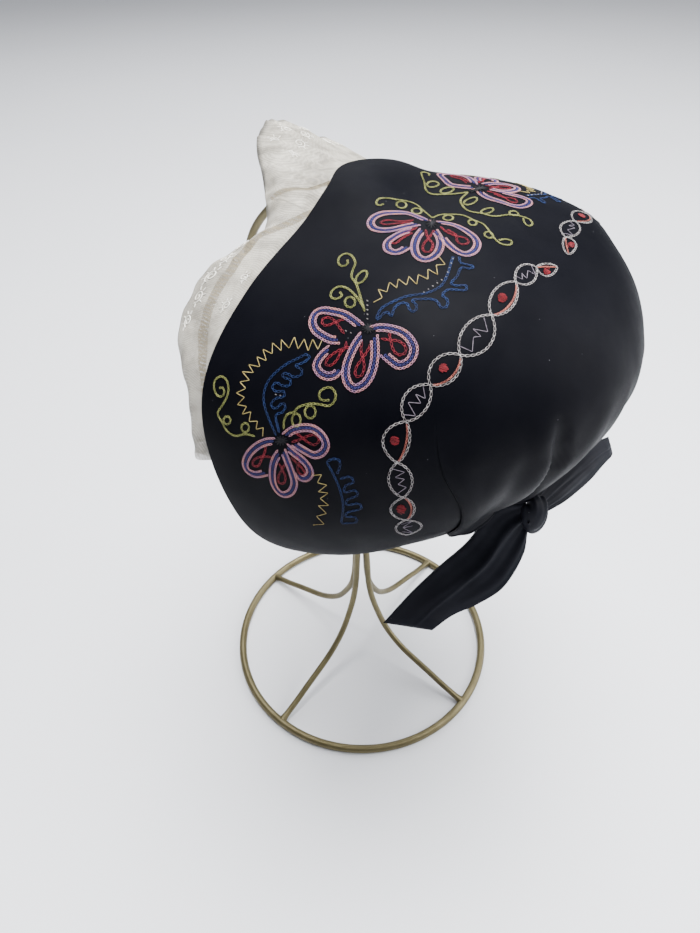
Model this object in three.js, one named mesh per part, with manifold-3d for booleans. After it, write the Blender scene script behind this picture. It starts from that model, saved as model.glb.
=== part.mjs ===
// Embroidered black satin bonnet with a net front piece and a nape bow, on a wire hat stand.
// Millimetres. +Z is up, the face side is -Y and the wearer's left is +X. The stand's ring lies on z = 0.
import * as THREE from "three";
import { mergeVertices } from "three/addons/utils/BufferGeometryUtils.js";
import Module from "manifold-3d";

const wasm = await Module();
wasm.setup();

const TAU = Math.PI * 2;
const rad = THREE.MathUtils.degToRad;
const clamp = THREE.MathUtils.clamp;
const WELD = 1e-3;

// Wire stand: base ring, four bent wires that are its legs, neck and balloon
const RING_RADIUS = 75;
const RING_WIRE = 4.5;
const RING_FLAT = 0.25;
const RING_SIDES = 12;
const RING_STEPS = 60;
const CAGE_WIRE = 3.5;
const WIRE_SIDES = 8;
const WIRE_STEPS = 46;
const CAGE_TOP = 285.6;
const FIRST_LEG = -7;
// A row per bend of a leg wire: distance from the upright axis, height of the wire's middle.
const LEG_BENDS = [
  { out: 75, up: 2 },
  { out: 61, up: 6 },
  { out: 50, up: 10 },
  { out: 41, up: 13 },
  { out: 33, up: 16 },
  { out: 25, up: 20.8 },
  { out: 18, up: 27.5 },
  { out: 12, up: 37.5 },
  { out: 7.6, up: 48 },
  { out: 5.2, up: 60 },
  { out: 4, up: 78 },
  { out: 2.3, up: 102 },
  { out: 2.3, up: 122 },
  { out: 7, up: 138 },
  { out: 24, up: 156 },
  { out: 48, up: 179 },
  { out: 64, up: 206 },
  { out: 66, up: 230 },
  { out: 59.8, up: 250.5 },
  { out: 43, up: 268.8 },
  { out: 24, up: 279.3 },
  { out: 0, up: CAGE_TOP },
];

// Bonnet: a crown of half widths and heights about its middle, open at the face and below
const CROWN_HALF_WIDTH = 88;
const CROWN_BACK = 110.7;
const CROWN_FRONT = 98.9;
const CROWN_ABOVE = 61.4;
const CROWN_BELOW = 88.8;
const CROWN_MIDDLE = new THREE.Vector3(0, 0.5, 226.7);
const CROWN_SQUARENESS = 2.2;
const CROWN_LEAN = 0.134;
const CROWN_TAPER = 0.027;
const CROWN_TAPER_LENGTH = 60;
const CROWN_FIRST_GUESS = 80;
const CROWN_GUESSES = 8;
const RIM_SWELL = 0.9;
const RIM_SWELL_SPREAD = 0.45;
const POLE_RISE = rad(38);
const POLE_FLAT = -1.6;
const WALL = 2.3;
const SHELL_COLUMNS = 56;
const SIDE_COLUMNS = 20;
const SHELL_ROWS = 18;
// The bonnet sits a little askew on the balloon: its roll, and how far it is moved to the wearer's left.
const SEAT_ROLL = rad(1.9);
const SEAT_SHIFT = 5.1;
const SEAT_HEIGHT = 212;
// A row per direction round the pole, from the forehead (0) past the ear (100) to the nape (180), in
// degrees: how far the cloth reaches from the pole, then its fullness in mm half way and at the rim.
const CROWN_ROWS = [
  { round: 0, reach: 57.4, mid: -3.8, rim: 4.6 },
  { round: 20, reach: 54.8, mid: -2.8, rim: 3.0 },
  { round: 40, reach: 59.5, mid: -0.3, rim: -1.8 },
  { round: 60, reach: 71.9, mid: 0.6, rim: -2.8 },
  { round: 80, reach: 86.8, mid: 4.1, rim: 0.8 },
  { round: 100, reach: 95.0, mid: 8.8, rim: 5.4 },
  { round: 115, reach: 97.2, mid: 7.4, rim: 7.2 },
  { round: 130, reach: 90.3, mid: 5.4, rim: 2.7 },
  { round: 145, reach: 79.1, mid: 3.0, rim: -4.6 },
  { round: 160, reach: 68.6, mid: 1.3, rim: -7.4 },
  { round: 180, reach: 64.5, mid: 0.4, rim: -4.6 },
];

// Pleated satin at the nape: it starts at a folded edge behind each ear
const PLEAT_CLOTH = 1.2;
const PLEAT_GAP = 0.9;
const PLEAT_SINK = 3.2;
const PLEAT_STEP = 3;
const PLEAT_TOP = 0.51;
const PLEAT_RISE = 0.47;
const PLEAT_HEM = 1.015;
const PLEAT_FOOT = 1.02;
const PLEAT_OVERLAP = 0.8;
const PLEAT_SETTLE = 0.08;
const PLEAT_TAKE_UP = 0.25;
const PLEAT_REST = 1.2;
const PLEAT_COLUMNS = 34;
const PLEAT_ROWS = 9;
const SINK_START = 0.444;
const SINK_LENGTH = 0.05;
// The hem is drawn up where the bow ties it, as a part of the way from pole to hem.
const HEM_RISE = 0.07;
const HEM_RISE_MIDDLE = 169;
const HEM_RISE_SPREAD = 26;
// A row per height on the folded edge: part of the way from pole to hem, direction round the pole.
const PLEAT_EDGE = [
  { down: 0.47, round: 106 },
  { down: 0.52, round: 115 },
  { down: 0.58, round: 124.5 },
  { down: 0.65, round: 131.5 },
  { down: 0.75, round: 137.5 },
  { down: 0.9, round: 145.5 },
  { down: 1.02, round: 151 },
];
// A row per puff or groove: where it runs (direction at its upper and lower end), its width, and its
// height at the upper end and at the hem. The first is the loose satin that swells on the far side.
const PLEAT_FOLDS = [
  { upper: 214, lower: 203, wide: 54, high: 1.2, hem: 2.5 },
  { upper: 168, lower: 184, wide: 26, high: 0, hem: -2.7 },
  { upper: 118, lower: 156, wide: 9, high: 1.4, hem: 1.6 },
  { upper: 137, lower: 163, wide: 8, high: -1.4, hem: -2 },
  { upper: 156, lower: 170, wide: 9, high: 1.2, hem: 1.6 },
  { upper: 182, lower: 180, wide: 8, high: -0.8, hem: -1.6 },
  { upper: 207, lower: 192, wide: 10, high: 1.4, hem: 1.2 },
  { upper: 226, lower: 201, wide: 8, high: -1.2, hem: -1.4 },
  { upper: 240, lower: 208, wide: 9, high: 1.6, hem: 1.4 },
];

// Net front piece, tucked inside the front edge and standing forward of it
const NET_CLOTH = 0.9;
const NET_TUCK = 7;
const NET_INSET = 3.2;
const NET_BEFORE = 0.9;
const NET_FORWARD = 0.75;
const NET_TUCK_PART = 0.2;
const NET_COLUMNS = 44;
const NET_ROWS_DOWN = 5;
// A row per direction round the pole: how far the net stands forward, and how far it dips inward.
const NET_ROWS = [
  { round: -99, forward: 8, inward: 1 },
  { round: -90, forward: 14, inward: 1 },
  { round: -80, forward: 26, inward: 0 },
  { round: -68, forward: 38, inward: -4 },
  { round: -57, forward: 46, inward: -10 },
  { round: -50, forward: 50, inward: -9.5 },
  { round: -43, forward: 53, inward: -8.5 },
  { round: -36, forward: 56, inward: -10 },
  { round: -25, forward: 58, inward: -10.5 },
  { round: -12, forward: 50, inward: -7 },
  { round: 0, forward: 39, inward: -4 },
  { round: 10, forward: 32, inward: -1 },
  { round: 20, forward: 27, inward: 2 },
  { round: 30, forward: 21, inward: 3 },
  { round: 38, forward: 18, inward: 4 },
  { round: 46, forward: 20, inward: 3 },
  { round: 53, forward: 23, inward: 2 },
  { round: 60, forward: 23.5, inward: 2 },
  { round: 67, forward: 22, inward: 2 },
  { round: 74, forward: 16, inward: 2 },
  { round: 81, forward: 10.5, inward: 2 },
  { round: 88, forward: 10, inward: 1.5 },
  { round: 94, forward: 13, inward: 1 },
];

// Bow at the nape
const KNOT_MIDDLE = new THREE.Vector3(21.6, 93.1, 180.9);
const KNOT_HALF = new THREE.Vector3(4.8, 6.3, 9);
const KNOT_CREASE = 0.7;
const KNOT_CREASES = 3;
const KNOT_ROUNDNESS = 0.8;
const KNOT_REACH = 0.94;
const KNOT_CORE = 0.02;
const KNOT_SIDES = 18;
const KNOT_ROWS = 8;
const BOW_CLOTH = 1.2;
const BOW_TURN = 0.08;
const BOW_COLUMNS = 36;
const BOW_ROWS = 4;
// A row per station of a loop, from the knot to the folded end: the place of its upper edge (a) and of
// its lower edge (b), and half the gap between its two layers.
const LOOP_LEFT = [
  { ax: 23.1, ay: 85.4, az: 183.7, bx: 27.4, by: 89.7, bz: 172.8, gap: 1.2 },
  { ax: 27.9, ay: 79.3, az: 181.4, bx: 27.2, by: 91.5, bz: 165.9, gap: 1.8 },
  { ax: 39.7, ay: 72.8, az: 171.3, bx: 37.8, by: 89.1, bz: 154.0, gap: 2.6 },
  { ax: 50.8, ay: 67.2, az: 165.2, bx: 48.3, by: 82.4, bz: 149.7, gap: 3 },
  { ax: 63.6, ay: 62.2, az: 160.1, bx: 57.7, by: 77.2, bz: 149.3, gap: 2.4 },
  { ax: 78.7, ay: 57.9, az: 154.6, bx: 68.8, by: 74.3, bz: 149.7, gap: 1.2 },
];
const LOOP_RIGHT = [
  { ax: 13.9, ay: 92.0, az: 185.6, bx: 16.5, by: 94.2, bz: 179.8, gap: 1.2 },
  { ax: 5.3, ay: 91.9, az: 185.9, bx: 6.6, by: 97.3, bz: 177.8, gap: 1.8 },
  { ax: -4.6, ay: 93.0, az: 184.0, bx: -4.3, by: 99.5, bz: 175.4, gap: 2.2 },
  { ax: -18.5, ay: 95.0, az: 182.3, bx: -17.9, by: 101.9, bz: 173.2, gap: 2.2 },
  { ax: -32.2, ay: 98.2, az: 181.1, bx: -31.4, by: 103.9, bz: 172.6, gap: 1.8 },
  { ax: -42.7, ay: 102.5, az: 179.4, bx: -41.4, by: 106.1, bz: 172.5, gap: 1.2 },
];

const satin = new THREE.MeshStandardMaterial({ color: 0x0d0e14, roughness: 0.55, metalness: 0 });
const net = new THREE.MeshStandardMaterial({ color: 0xe6e3da, roughness: 0.9, metalness: 0 });
const gold = new THREE.MeshStandardMaterial({ color: 0xa8935a, roughness: 0.45, metalness: 0.8 });

// Reads one column of a table at a place between its rows, with a smooth curve through them.
function along(rows, key, column, at) {
  let i = 0;
  while (i < rows.length - 2 && at > rows[i + 1][key]) {
    i += 1;
  }
  const a = rows[i];
  const b = rows[i + 1];
  const before = rows[Math.max(i - 1, 0)];
  const after = rows[Math.min(i + 2, rows.length - 1)];
  const step = b[key] - a[key];
  const s = clamp((at - a[key]) / step, 0, 1);
  const slopeA = (b[column] - before[column]) / (b[key] - before[key]) * step;
  const slopeB = (after[column] - a[column]) / (after[key] - a[key]) * step;
  const s2 = s * s;
  const s3 = s2 * s;
  return a[column] * (2 * s3 - 3 * s2 + 1) + slopeA * (s3 - 2 * s2 + s)
    + b[column] * (3 * s2 - 2 * s3) + slopeB * (s3 - s2);
}

// The same for the crown's table, which runs on evenly past the forehead and the nape.
const CROWN_EVEN = [
  { ...CROWN_ROWS[2], round: -40 },
  { ...CROWN_ROWS[1], round: -20 },
  ...CROWN_ROWS,
  { ...CROWN_ROWS[CROWN_ROWS.length - 2], round: 200 },
];

function crown(column, round) {
  const turned = Math.abs(((round + 180) % 360 + 360) % 360 - 180);
  return along(CROWN_EVEN, "round", column, turned);
}

function smooth(x) {
  const s = clamp(x, 0, 1);
  return s * s * (3 - 2 * s);
}

// A soft hump of height 1 at its middle, gone at its width on either side.
function hump(x, middle, width) {
  const s = clamp(1 - ((x - middle) / width) ** 2, 0, 1);
  return s * s;
}

// How far out the plain crown form lies from its middle in one direction.
function crownForm(direction) {
  let r = CROWN_FIRST_GUESS;
  for (let i = 0; i < CROWN_GUESSES; i += 1) {
    const y0 = direction.y * r;
    const z0 = direction.z * r;
    const y = Math.cos(CROWN_LEAN) * y0 + Math.sin(CROWN_LEAN) * z0;
    const z = Math.cos(CROWN_LEAN) * z0 - Math.sin(CROWN_LEAN) * y0;
    const half = CROWN_HALF_WIDTH * (1 + CROWN_TAPER * Math.tanh(-y / CROWN_TAPER_LENGTH));
    const depth = y > 0 ? CROWN_BACK : CROWN_FRONT;
    const rise = z > 0 ? CROWN_ABOVE : CROWN_BELOW;
    const across = Math.abs(direction.x * r / half) ** CROWN_SQUARENESS;
    const high = Math.abs(z / rise) ** CROWN_SQUARENESS;
    const ring = (across + high) ** (2 / CROWN_SQUARENESS);
    r /= Math.sqrt(ring + (y / depth) ** 2);
  }
  return r;
}

// Seats a point of the upright bonnet on the stand.
function seat(point) {
  const x = point.x + SEAT_SHIFT;
  const z = point.z - SEAT_HEIGHT;
  const c = Math.cos(SEAT_ROLL);
  const s = Math.sin(SEAT_ROLL);
  return new THREE.Vector3(c * x - s * z, point.y, s * x + c * z + SEAT_HEIGHT);
}

// A point of the bonnet: direction round the pole in degrees, part of the way down from the pole to
// the edge, and distance outside the crown's outer face.
function bonnetPoint(round, down, outside) {
  const angle = rad(crown("reach", round)) * down;
  const turn = rad(round);
  const side = Math.sin(turn) * Math.sin(angle);
  const front = Math.cos(turn) * Math.sin(angle);
  const direction = new THREE.Vector3(
    side,
    Math.cos(angle) * Math.cos(POLE_RISE) - front * Math.sin(POLE_RISE),
    Math.cos(angle) * Math.sin(POLE_RISE) + front * Math.cos(POLE_RISE),
  );
  const full = POLE_FLAT * hump(down, 0, 0.5) + crown("mid", round) * hump(down, 0.45, 0.45)
    + crown("rim", round) * hump(down, RIM_SWELL, RIM_SWELL_SPREAD);
  const r = crownForm(direction) + full + outside;
  return seat(direction.multiplyScalar(r).add(CROWN_MIDDLE));
}

// Direction round the pole of the folded pleat edge at one height.
function pleatEdge(down) {
  return along(PLEAT_EDGE, "down", "round", clamp(down, PLEAT_RISE, PLEAT_FOOT));
}

// How much the cloth is drawn up at a place, as a part of the way from pole to hem.
function drawnUp(round, level) {
  const part = smooth((level - PLEAT_TOP) / (PLEAT_HEM - PLEAT_TOP));
  return HEM_RISE * hump(round, HEM_RISE_MIDDLE, HEM_RISE_SPREAD) * part;
}

// Directions round the pole of the shell's columns, so that one column follows each folded edge.
function shellColumn(i, down) {
  const edge = pleatEdge(down);
  const half = SHELL_COLUMNS / 2;
  const part = i <= half ? i : SHELL_COLUMNS - i;
  const round = part <= SIDE_COLUMNS
    ? edge * part / SIDE_COLUMNS
    : edge + PLEAT_STEP + (180 - edge - PLEAT_STEP) * (part - SIDE_COLUMNS - 1) / (half - SIDE_COLUMNS - 1);
  return i <= half ? round : 360 - round;
}

// A closed cloth from its two faces: face(u, v, side) with side 0 outside and 1 inside, u and v 0..1.
function cloth(face, across, down, wraps = false) {
  const positions = [];
  const index = [];
  const width = wraps ? across : across + 1;
  for (let side = 0; side < 2; side += 1) {
    for (let j = 0; j <= down; j += 1) {
      for (let i = 0; i < width; i += 1) {
        const p = face(i / across, j / down, side);
        positions.push(p.x, p.y, p.z);
      }
    }
  }
  const faceSize = width * (down + 1);
  const at = (i, j, side) => side * faceSize + j * width + (wraps ? i % across : i);
  const quad = (a, b, c, d) => index.push(a, b, c, a, c, d);
  for (let j = 0; j < down; j += 1) {
    for (let i = 0; i < across; i += 1) {
      quad(at(i, j, 0), at(i + 1, j, 0), at(i + 1, j + 1, 0), at(i, j + 1, 0));
      quad(at(i, j, 1), at(i, j + 1, 1), at(i + 1, j + 1, 1), at(i + 1, j, 1));
    }
  }
  for (let i = 0; i < across; i += 1) {
    quad(at(i, down, 0), at(i + 1, down, 0), at(i + 1, down, 1), at(i, down, 1));
    quad(at(i, 0, 0), at(i, 0, 1), at(i + 1, 0, 1), at(i + 1, 0, 0));
  }
  if (!wraps) {
    for (let j = 0; j < down; j += 1) {
      quad(at(0, j, 0), at(0, j + 1, 0), at(0, j + 1, 1), at(0, j, 1));
      quad(at(across, j, 0), at(across, j, 1), at(across, j + 1, 1), at(across, j + 1, 0));
    }
  }
  return solid(positions, index);
}

// Welds the corners, drops faces that have shrunk to a line and turns the body's faces outward.
function solid(positions, index) {
  const raw = new THREE.BufferGeometry();
  raw.setAttribute("position", new THREE.Float32BufferAttribute(positions, 3));
  raw.setIndex(index);
  const welded = mergeVertices(raw, 1e-3);
  const old = welded.index.array;
  const kept = [];
  for (let k = 0; k < old.length; k += 3) {
    if (old[k] !== old[k + 1] && old[k + 1] !== old[k + 2] && old[k + 2] !== old[k]) {
      kept.push(old[k], old[k + 1], old[k + 2]);
    }
  }
  const place = welded.attributes.position;
  const a = new THREE.Vector3();
  const b = new THREE.Vector3();
  const c = new THREE.Vector3();
  let volume = 0;
  for (let k = 0; k < kept.length; k += 3) {
    a.fromBufferAttribute(place, kept[k]);
    b.fromBufferAttribute(place, kept[k + 1]);
    c.fromBufferAttribute(place, kept[k + 2]);
    volume += a.dot(b.cross(c));
  }
  if (volume < 0) {
    for (let k = 0; k < kept.length; k += 3) {
      [kept[k], kept[k + 1]] = [kept[k + 1], kept[k]];
    }
  }
  welded.setIndex(kept);
  welded.computeVertexNormals();
  return welded;
}

function toManifold(geometry) {
  const bare = geometry.clone();
  bare.deleteAttribute("normal");
  bare.deleteAttribute("uv");
  const welded = mergeVertices(bare, WELD);
  return new wasm.Manifold(new wasm.Mesh({
    numProp: 3,
    vertProperties: new Float32Array(welded.attributes.position.array),
    triVerts: new Uint32Array(welded.index.array),
  }));
}

function fromManifold(body) {
  const mesh = body.getMesh();
  const geometry = new THREE.BufferGeometry();
  geometry.setAttribute("position", new THREE.Float32BufferAttribute(mesh.vertProperties, 3));
  geometry.setIndex(Array.from(mesh.triVerts));
  geometry.computeVertexNormals();
  return geometry;
}

// Wire stand
function baseRing() {
  const points = [];
  const radius = RING_WIRE / 2;
  for (let i = 0; i <= RING_SIDES; i += 1) {
    const turn = TAU * (i + 0.5) / RING_SIDES;
    const up = Math.max(radius - RING_FLAT + radius * Math.sin(turn), 0);
    points.push(new THREE.Vector2(RING_RADIUS + radius * Math.cos(turn), up));
  }
  const ring = new THREE.LatheGeometry(points, RING_STEPS);
  ring.rotateX(Math.PI / 2);
  return ring;
}

function bentWire(turn) {
  const path = new THREE.CatmullRomCurve3(LEG_BENDS.map((bend) => new THREE.Vector3(
    bend.out * Math.cos(turn),
    bend.out * Math.sin(turn),
    bend.up,
  )), false, "centripetal");
  const section = new THREE.Shape();
  for (let i = 0; i < WIRE_SIDES; i += 1) {
    const angle = TAU * (i + 0.5) / WIRE_SIDES;
    section[i === 0 ? "moveTo" : "lineTo"](
      CAGE_WIRE / 2 * Math.cos(angle),
      CAGE_WIRE / 2 * Math.sin(angle),
    );
  }
  section.closePath();
  return new THREE.ExtrudeGeometry(section, { extrudePath: path, steps: WIRE_STEPS, bevelEnabled: false });
}

function wireStand() {
  let stand = toManifold(solidFrom(baseRing()));
  for (let leg = 0; leg < 4; leg += 1) {
    const wire = toManifold(solidFrom(bentWire(rad(FIRST_LEG + 90 * leg))));
    stand = stand.add(wire);
  }
  return fromManifold(stand);
}

function solidFrom(geometry) {
  const bare = geometry.clone();
  bare.deleteAttribute("normal");
  bare.deleteAttribute("uv");
  const welded = mergeVertices(bare, WELD);
  return solid(Array.from(welded.attributes.position.array), Array.from(welded.index.array));
}

// Bonnet shell
function bonnetShell() {
  return cloth((u, v, side) => {
    const i = Math.round(u * SHELL_COLUMNS) % SHELL_COLUMNS;
    const inside = Math.min(i, SHELL_COLUMNS - i) > SIDE_COLUMNS;
    const round = shellColumn(i, v);
    const sunk = inside ? PLEAT_SINK * smooth((v - SINK_START) / SINK_LENGTH) : 0;
    const down = inside ? v - drawnUp(round, v) : v;
    return bonnetPoint(round, down, -sunk - WALL * side);
  }, SHELL_COLUMNS, SHELL_ROWS, true);
}

// Nape pleats
function napePleats() {
  return cloth((u, v, side) => {
    const level = PLEAT_TOP + (PLEAT_HEM - PLEAT_TOP) * v;
    const edge = pleatEdge(level) + PLEAT_STEP + PLEAT_OVERLAP;
    const round = edge + (360 - 2 * edge) * u;
    const down = level - drawnUp(round, level);
    let puff = 0;
    for (const fold of PLEAT_FOLDS) {
      const middle = fold.upper + (fold.lower - fold.upper) * v;
      puff += (fold.high + (fold.hem - fold.high) * v) * hump(round, middle, fold.wide);
    }
    const free = smooth(u / PLEAT_SETTLE) * smooth((1 - u) / PLEAT_SETTLE) * smooth(v / PLEAT_TAKE_UP);
    const inner = PLEAT_GAP - PLEAT_SINK + Math.max(puff + PLEAT_REST, 0) * free;
    return bonnetPoint(round, down, inner + PLEAT_CLOTH * (1 - side));
  }, PLEAT_COLUMNS, PLEAT_ROWS);
}

// Front net
function netPoint(round, forward, inset) {
  const rim = bonnetPoint(round, 1, -inset);
  const before = bonnetPoint(round, NET_BEFORE, -inset);
  const onward = rim.clone().sub(before).normalize();
  const middle = seat(CROWN_MIDDLE.clone());
  const inward = middle.sub(rim);
  inward.y = 0;
  inward.normalize();
  const reach = along(NET_ROWS, "round", "forward", round);
  const dip = along(NET_ROWS, "round", "inward", round);
  const part = clamp(forward, 0, 1);
  const face = new THREE.Vector3(0, -1, 0);
  const lead = onward.lerp(face, NET_FORWARD).normalize();
  return rim.addScaledVector(lead, forward < 0 ? forward * NET_TUCK : part * reach)
    .addScaledVector(inward, part * part * dip);
}

function frontLace() {
  const first = NET_ROWS[0].round;
  const last = NET_ROWS[NET_ROWS.length - 1].round;
  return cloth((u, v, side) => {
    const round = first + (last - first) * u;
    const forward = v < NET_TUCK_PART ? v / NET_TUCK_PART - 1 : (v - NET_TUCK_PART) / (1 - NET_TUCK_PART);
    return netPoint(round, forward, NET_INSET + NET_CLOTH * side);
  }, NET_COLUMNS, NET_ROWS_DOWN);
}

// Bow
function bowKnot() {
  return cloth((u, v, side) => {
    const turn = TAU * u;
    const lift = Math.PI * (v - 0.5) * KNOT_REACH;
    const crease = 1 - KNOT_CREASE / KNOT_HALF.y * Math.cos(KNOT_CREASES * turn) ** 2 * Math.cos(lift);
    const round = side === 0 ? Math.cos(lift) ** KNOT_ROUNDNESS * crease : KNOT_CORE;
    return new THREE.Vector3(
      KNOT_MIDDLE.x + KNOT_HALF.x * Math.sin(lift),
      KNOT_MIDDLE.y + KNOT_HALF.y * round * Math.cos(turn),
      KNOT_MIDDLE.z + KNOT_HALF.z * round * Math.sin(turn),
    );
  }, KNOT_SIDES, KNOT_ROWS, true);
}

// A ribbon that runs out between its two edges, turns over at the end and comes back.
function bowLoop(rows) {
  const table = rows.map((row, i) => ({ ...row, step: i }));
  const last = table.length - 1;
  const upper = new THREE.CatmullRomCurve3(rows.map((row) => new THREE.Vector3(row.ax, row.ay, row.az)));
  const lower = new THREE.CatmullRomCurve3(rows.map((row) => new THREE.Vector3(row.bx, row.by, row.bz)));
  return cloth((u, v, side) => {
    const out = 1 - Math.abs(1 - 2 * u);
    const top = upper.getPoint(out);
    const foot = lower.getPoint(out);
    const ahead = upper.getTangent(out).add(lower.getTangent(out)).normalize();
    const face = ahead.clone().cross(foot.clone().sub(top)).normalize();
    const nearEnd = Math.sqrt(clamp((1 - out) / BOW_TURN, 0, 1));
    const layer = (u < 0.5 ? 1 : -1) * nearEnd;
    const thick = side === 0 ? BOW_CLOTH : 0;
    const half = (along(table, "step", "gap", out * last) + thick) * layer;
    return top.lerp(foot, v)
      .addScaledVector(face, half)
      .addScaledVector(ahead, thick * Math.sqrt(1 - nearEnd * nearEnd));
  }, BOW_COLUMNS, BOW_ROWS);
}

const part = new THREE.Group();
part.name = "bonnet_on_stand";
function addNode(name, geometry, material) {
  const mesh = new THREE.Mesh(geometry, material);
  mesh.name = name;
  part.add(mesh);
}
addNode("wire_stand", wireStand(), gold);
addNode("bonnet_shell", bonnetShell(), satin);
addNode("nape_pleats", napePleats(), satin);
addNode("front_lace", frontLace(), net);
addNode("bow_knot", bowKnot(), satin);
addNode("bow_loop_left", bowLoop(LOOP_LEFT), satin);
addNode("bow_loop_right", bowLoop(LOOP_RIGHT), satin);

// The origin lies on the floor, below the middle of the whole.
const extent = new THREE.Box3().setFromObject(part);
const middle = extent.getCenter(new THREE.Vector3());
for (const mesh of part.children) {
  mesh.geometry.translate(-middle.x, -middle.y, -extent.min.z);
}

export default part;
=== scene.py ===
import math

import bpy
import numpy as np
from mathutils import Matrix, Vector


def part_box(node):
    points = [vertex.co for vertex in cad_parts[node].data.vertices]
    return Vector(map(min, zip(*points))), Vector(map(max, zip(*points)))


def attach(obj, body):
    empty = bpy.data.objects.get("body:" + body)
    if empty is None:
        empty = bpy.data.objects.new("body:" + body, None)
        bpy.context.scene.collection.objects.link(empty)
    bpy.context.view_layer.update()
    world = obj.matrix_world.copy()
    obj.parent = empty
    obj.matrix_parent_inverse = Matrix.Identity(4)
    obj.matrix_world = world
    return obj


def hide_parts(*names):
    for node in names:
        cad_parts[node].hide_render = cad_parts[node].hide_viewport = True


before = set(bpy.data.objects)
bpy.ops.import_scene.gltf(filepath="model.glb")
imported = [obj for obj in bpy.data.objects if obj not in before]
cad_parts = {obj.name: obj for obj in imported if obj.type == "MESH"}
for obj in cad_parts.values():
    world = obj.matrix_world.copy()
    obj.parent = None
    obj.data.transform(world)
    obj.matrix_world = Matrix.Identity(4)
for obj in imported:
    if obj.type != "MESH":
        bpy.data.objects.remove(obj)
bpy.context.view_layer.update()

# The view. The photograph was taken by hand from above the wearer's left shoulder side, looking
# down at the crown. Places in this file are millimetres from the stand's upright axis at the floor.
MM = 0.001
stand_low, stand_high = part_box("wire_stand")
STAND = np.array([(stand_low.x + stand_high.x) / 2, (stand_low.y + stand_high.y) / 2, 0.0])
PHOTO_WIDE, PHOTO_TALL = 700, 933
EYE = np.array([218.54, 132.83, 381.57])
EYE_HEADING = math.radians(-147.48)
EYE_DIP = math.radians(-42.55)
EYE_ROLL = math.radians(-1.04)
EYE_FOCUS = 700
SENSOR = 36

forward = np.array([math.cos(EYE_HEADING) * math.cos(EYE_DIP), math.sin(EYE_HEADING) * math.cos(EYE_DIP),
                    math.sin(EYE_DIP)])
level = np.array([math.sin(EYE_HEADING), -math.cos(EYE_HEADING), 0.0])
right = math.cos(EYE_ROLL) * level + math.sin(EYE_ROLL) * np.cross(level, forward)
upward = np.cross(right, forward)

camera_data = bpy.data.cameras.new("photo_camera")
camera_data.sensor_width = SENSOR
camera_data.lens = EYE_FOCUS / PHOTO_TALL * SENSOR
camera_data.clip_start = 0.01
camera = bpy.data.objects.new("photo_camera", camera_data)
bpy.context.scene.collection.objects.link(camera)
axes = np.column_stack([right, upward, -forward])
camera.matrix_world = Matrix.Translation(Vector(EYE * MM + STAND)) @ Matrix(axes.tolist()).to_4x4()
bpy.context.scene.camera = camera


# The wire stand. Soft steel wire: a base ring, and four wires that start on it as legs, run up
# together as a neck and open into a balloon. They are soldered at ring, neck and top, then painted.
RING_RADIUS = 75
RING_WIRE = 4.5
RING_FLAT = 0.25
CAGE_WIRE = 3.5
FIRST_LEG = math.radians(-7)
RING_STEPS = 180
RING_SIDES = 16
WIRE_STEP = 2.5
WIRE_SIDES = 14
SOLDER_HIGH = 0.5
SOLDER_AT = 1.5
SOLDER_LONG = 2.2
CURVE_STEPS = 24
TINY = 1e-9
ASKEW = np.array([0.31, 0.17, 0.93])


def table(columns, *rows):
    """A short table with named columns."""
    return {name: np.array(column, float) for name, column in zip(columns.split(), zip(*rows))}


LEG_BENDS = table(
    "out up",
    (75, 2), (61, 6), (50, 10), (41, 13), (33, 16), (25, 20.8), (18, 27.5), (12, 37.5), (7.6, 48),
    (5.2, 60), (4, 78), (2.3, 102), (2.3, 122), (7, 138), (24, 156), (48, 179), (64, 206), (66, 230),
    (59.8, 250.5), (43, 268.8), (24, 279.3), (0, 285.6),
)


def unit(v):
    return v / np.maximum(np.linalg.norm(v, axis=-1, keepdims=True), TINY)


def station_curve(points):
    """A smooth line through a few points, with as many points between each two of them."""
    points = np.asarray(points, float)
    points = np.vstack([2 * points[0] - points[1], points, 2 * points[-1] - points[-2]])
    gaps = np.sqrt(np.linalg.norm(np.diff(points, axis=0), axis=1)) + TINY
    knots = np.concatenate([[0], np.cumsum(gaps)])
    out = []
    for i in range(1, len(points) - 2):
        p0, p1, p2, p3 = points[i - 1:i + 3]
        t0, t1, t2, t3 = knots[i - 1:i + 3]
        t = np.linspace(t1, t2, CURVE_STEPS, endpoint=False)[:, None]
        a1 = (t1 - t) / (t1 - t0) * p0 + (t - t0) / (t1 - t0) * p1
        a2 = (t2 - t) / (t2 - t1) * p1 + (t - t1) / (t2 - t1) * p2
        a3 = (t3 - t) / (t3 - t2) * p2 + (t - t2) / (t3 - t2) * p3
        b1 = (t2 - t) / (t2 - t0) * a1 + (t - t0) / (t2 - t0) * a2
        b2 = (t3 - t) / (t3 - t1) * a2 + (t - t1) / (t3 - t1) * a3
        out.append((t2 - t) / (t2 - t1) * b1 + (t - t1) / (t2 - t1) * b2)
    out.append(points[-2][None])
    return np.vstack(out)


def evenly(line, step):
    """The same line with its points about one step apart."""
    run = np.concatenate([[0], np.cumsum(np.linalg.norm(np.diff(line, axis=0), axis=1))])
    at = np.linspace(0, run[-1], max(int(round(run[-1] / step)), 1) + 1)
    return np.column_stack([np.interp(at, run, line[:, k]) for k in range(line.shape[1])])


def curve_through(points, step=0.5):
    """An even polyline along the smooth curve through a few points."""
    return evenly(station_curve(points), step)


def grid_faces(across, down, wraps=False, first=0):
    """Four-sided faces of a grid of points in rows; the last column meets the first where it wraps."""
    width = across if wraps else across + 1
    i, j = np.meshgrid(np.arange(across), np.arange(down))
    a = first + j * width + i
    b = first + j * width + (i + 1) % width
    return np.stack([a, b, b + width, a + width], -1).reshape(-1, 4)


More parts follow.
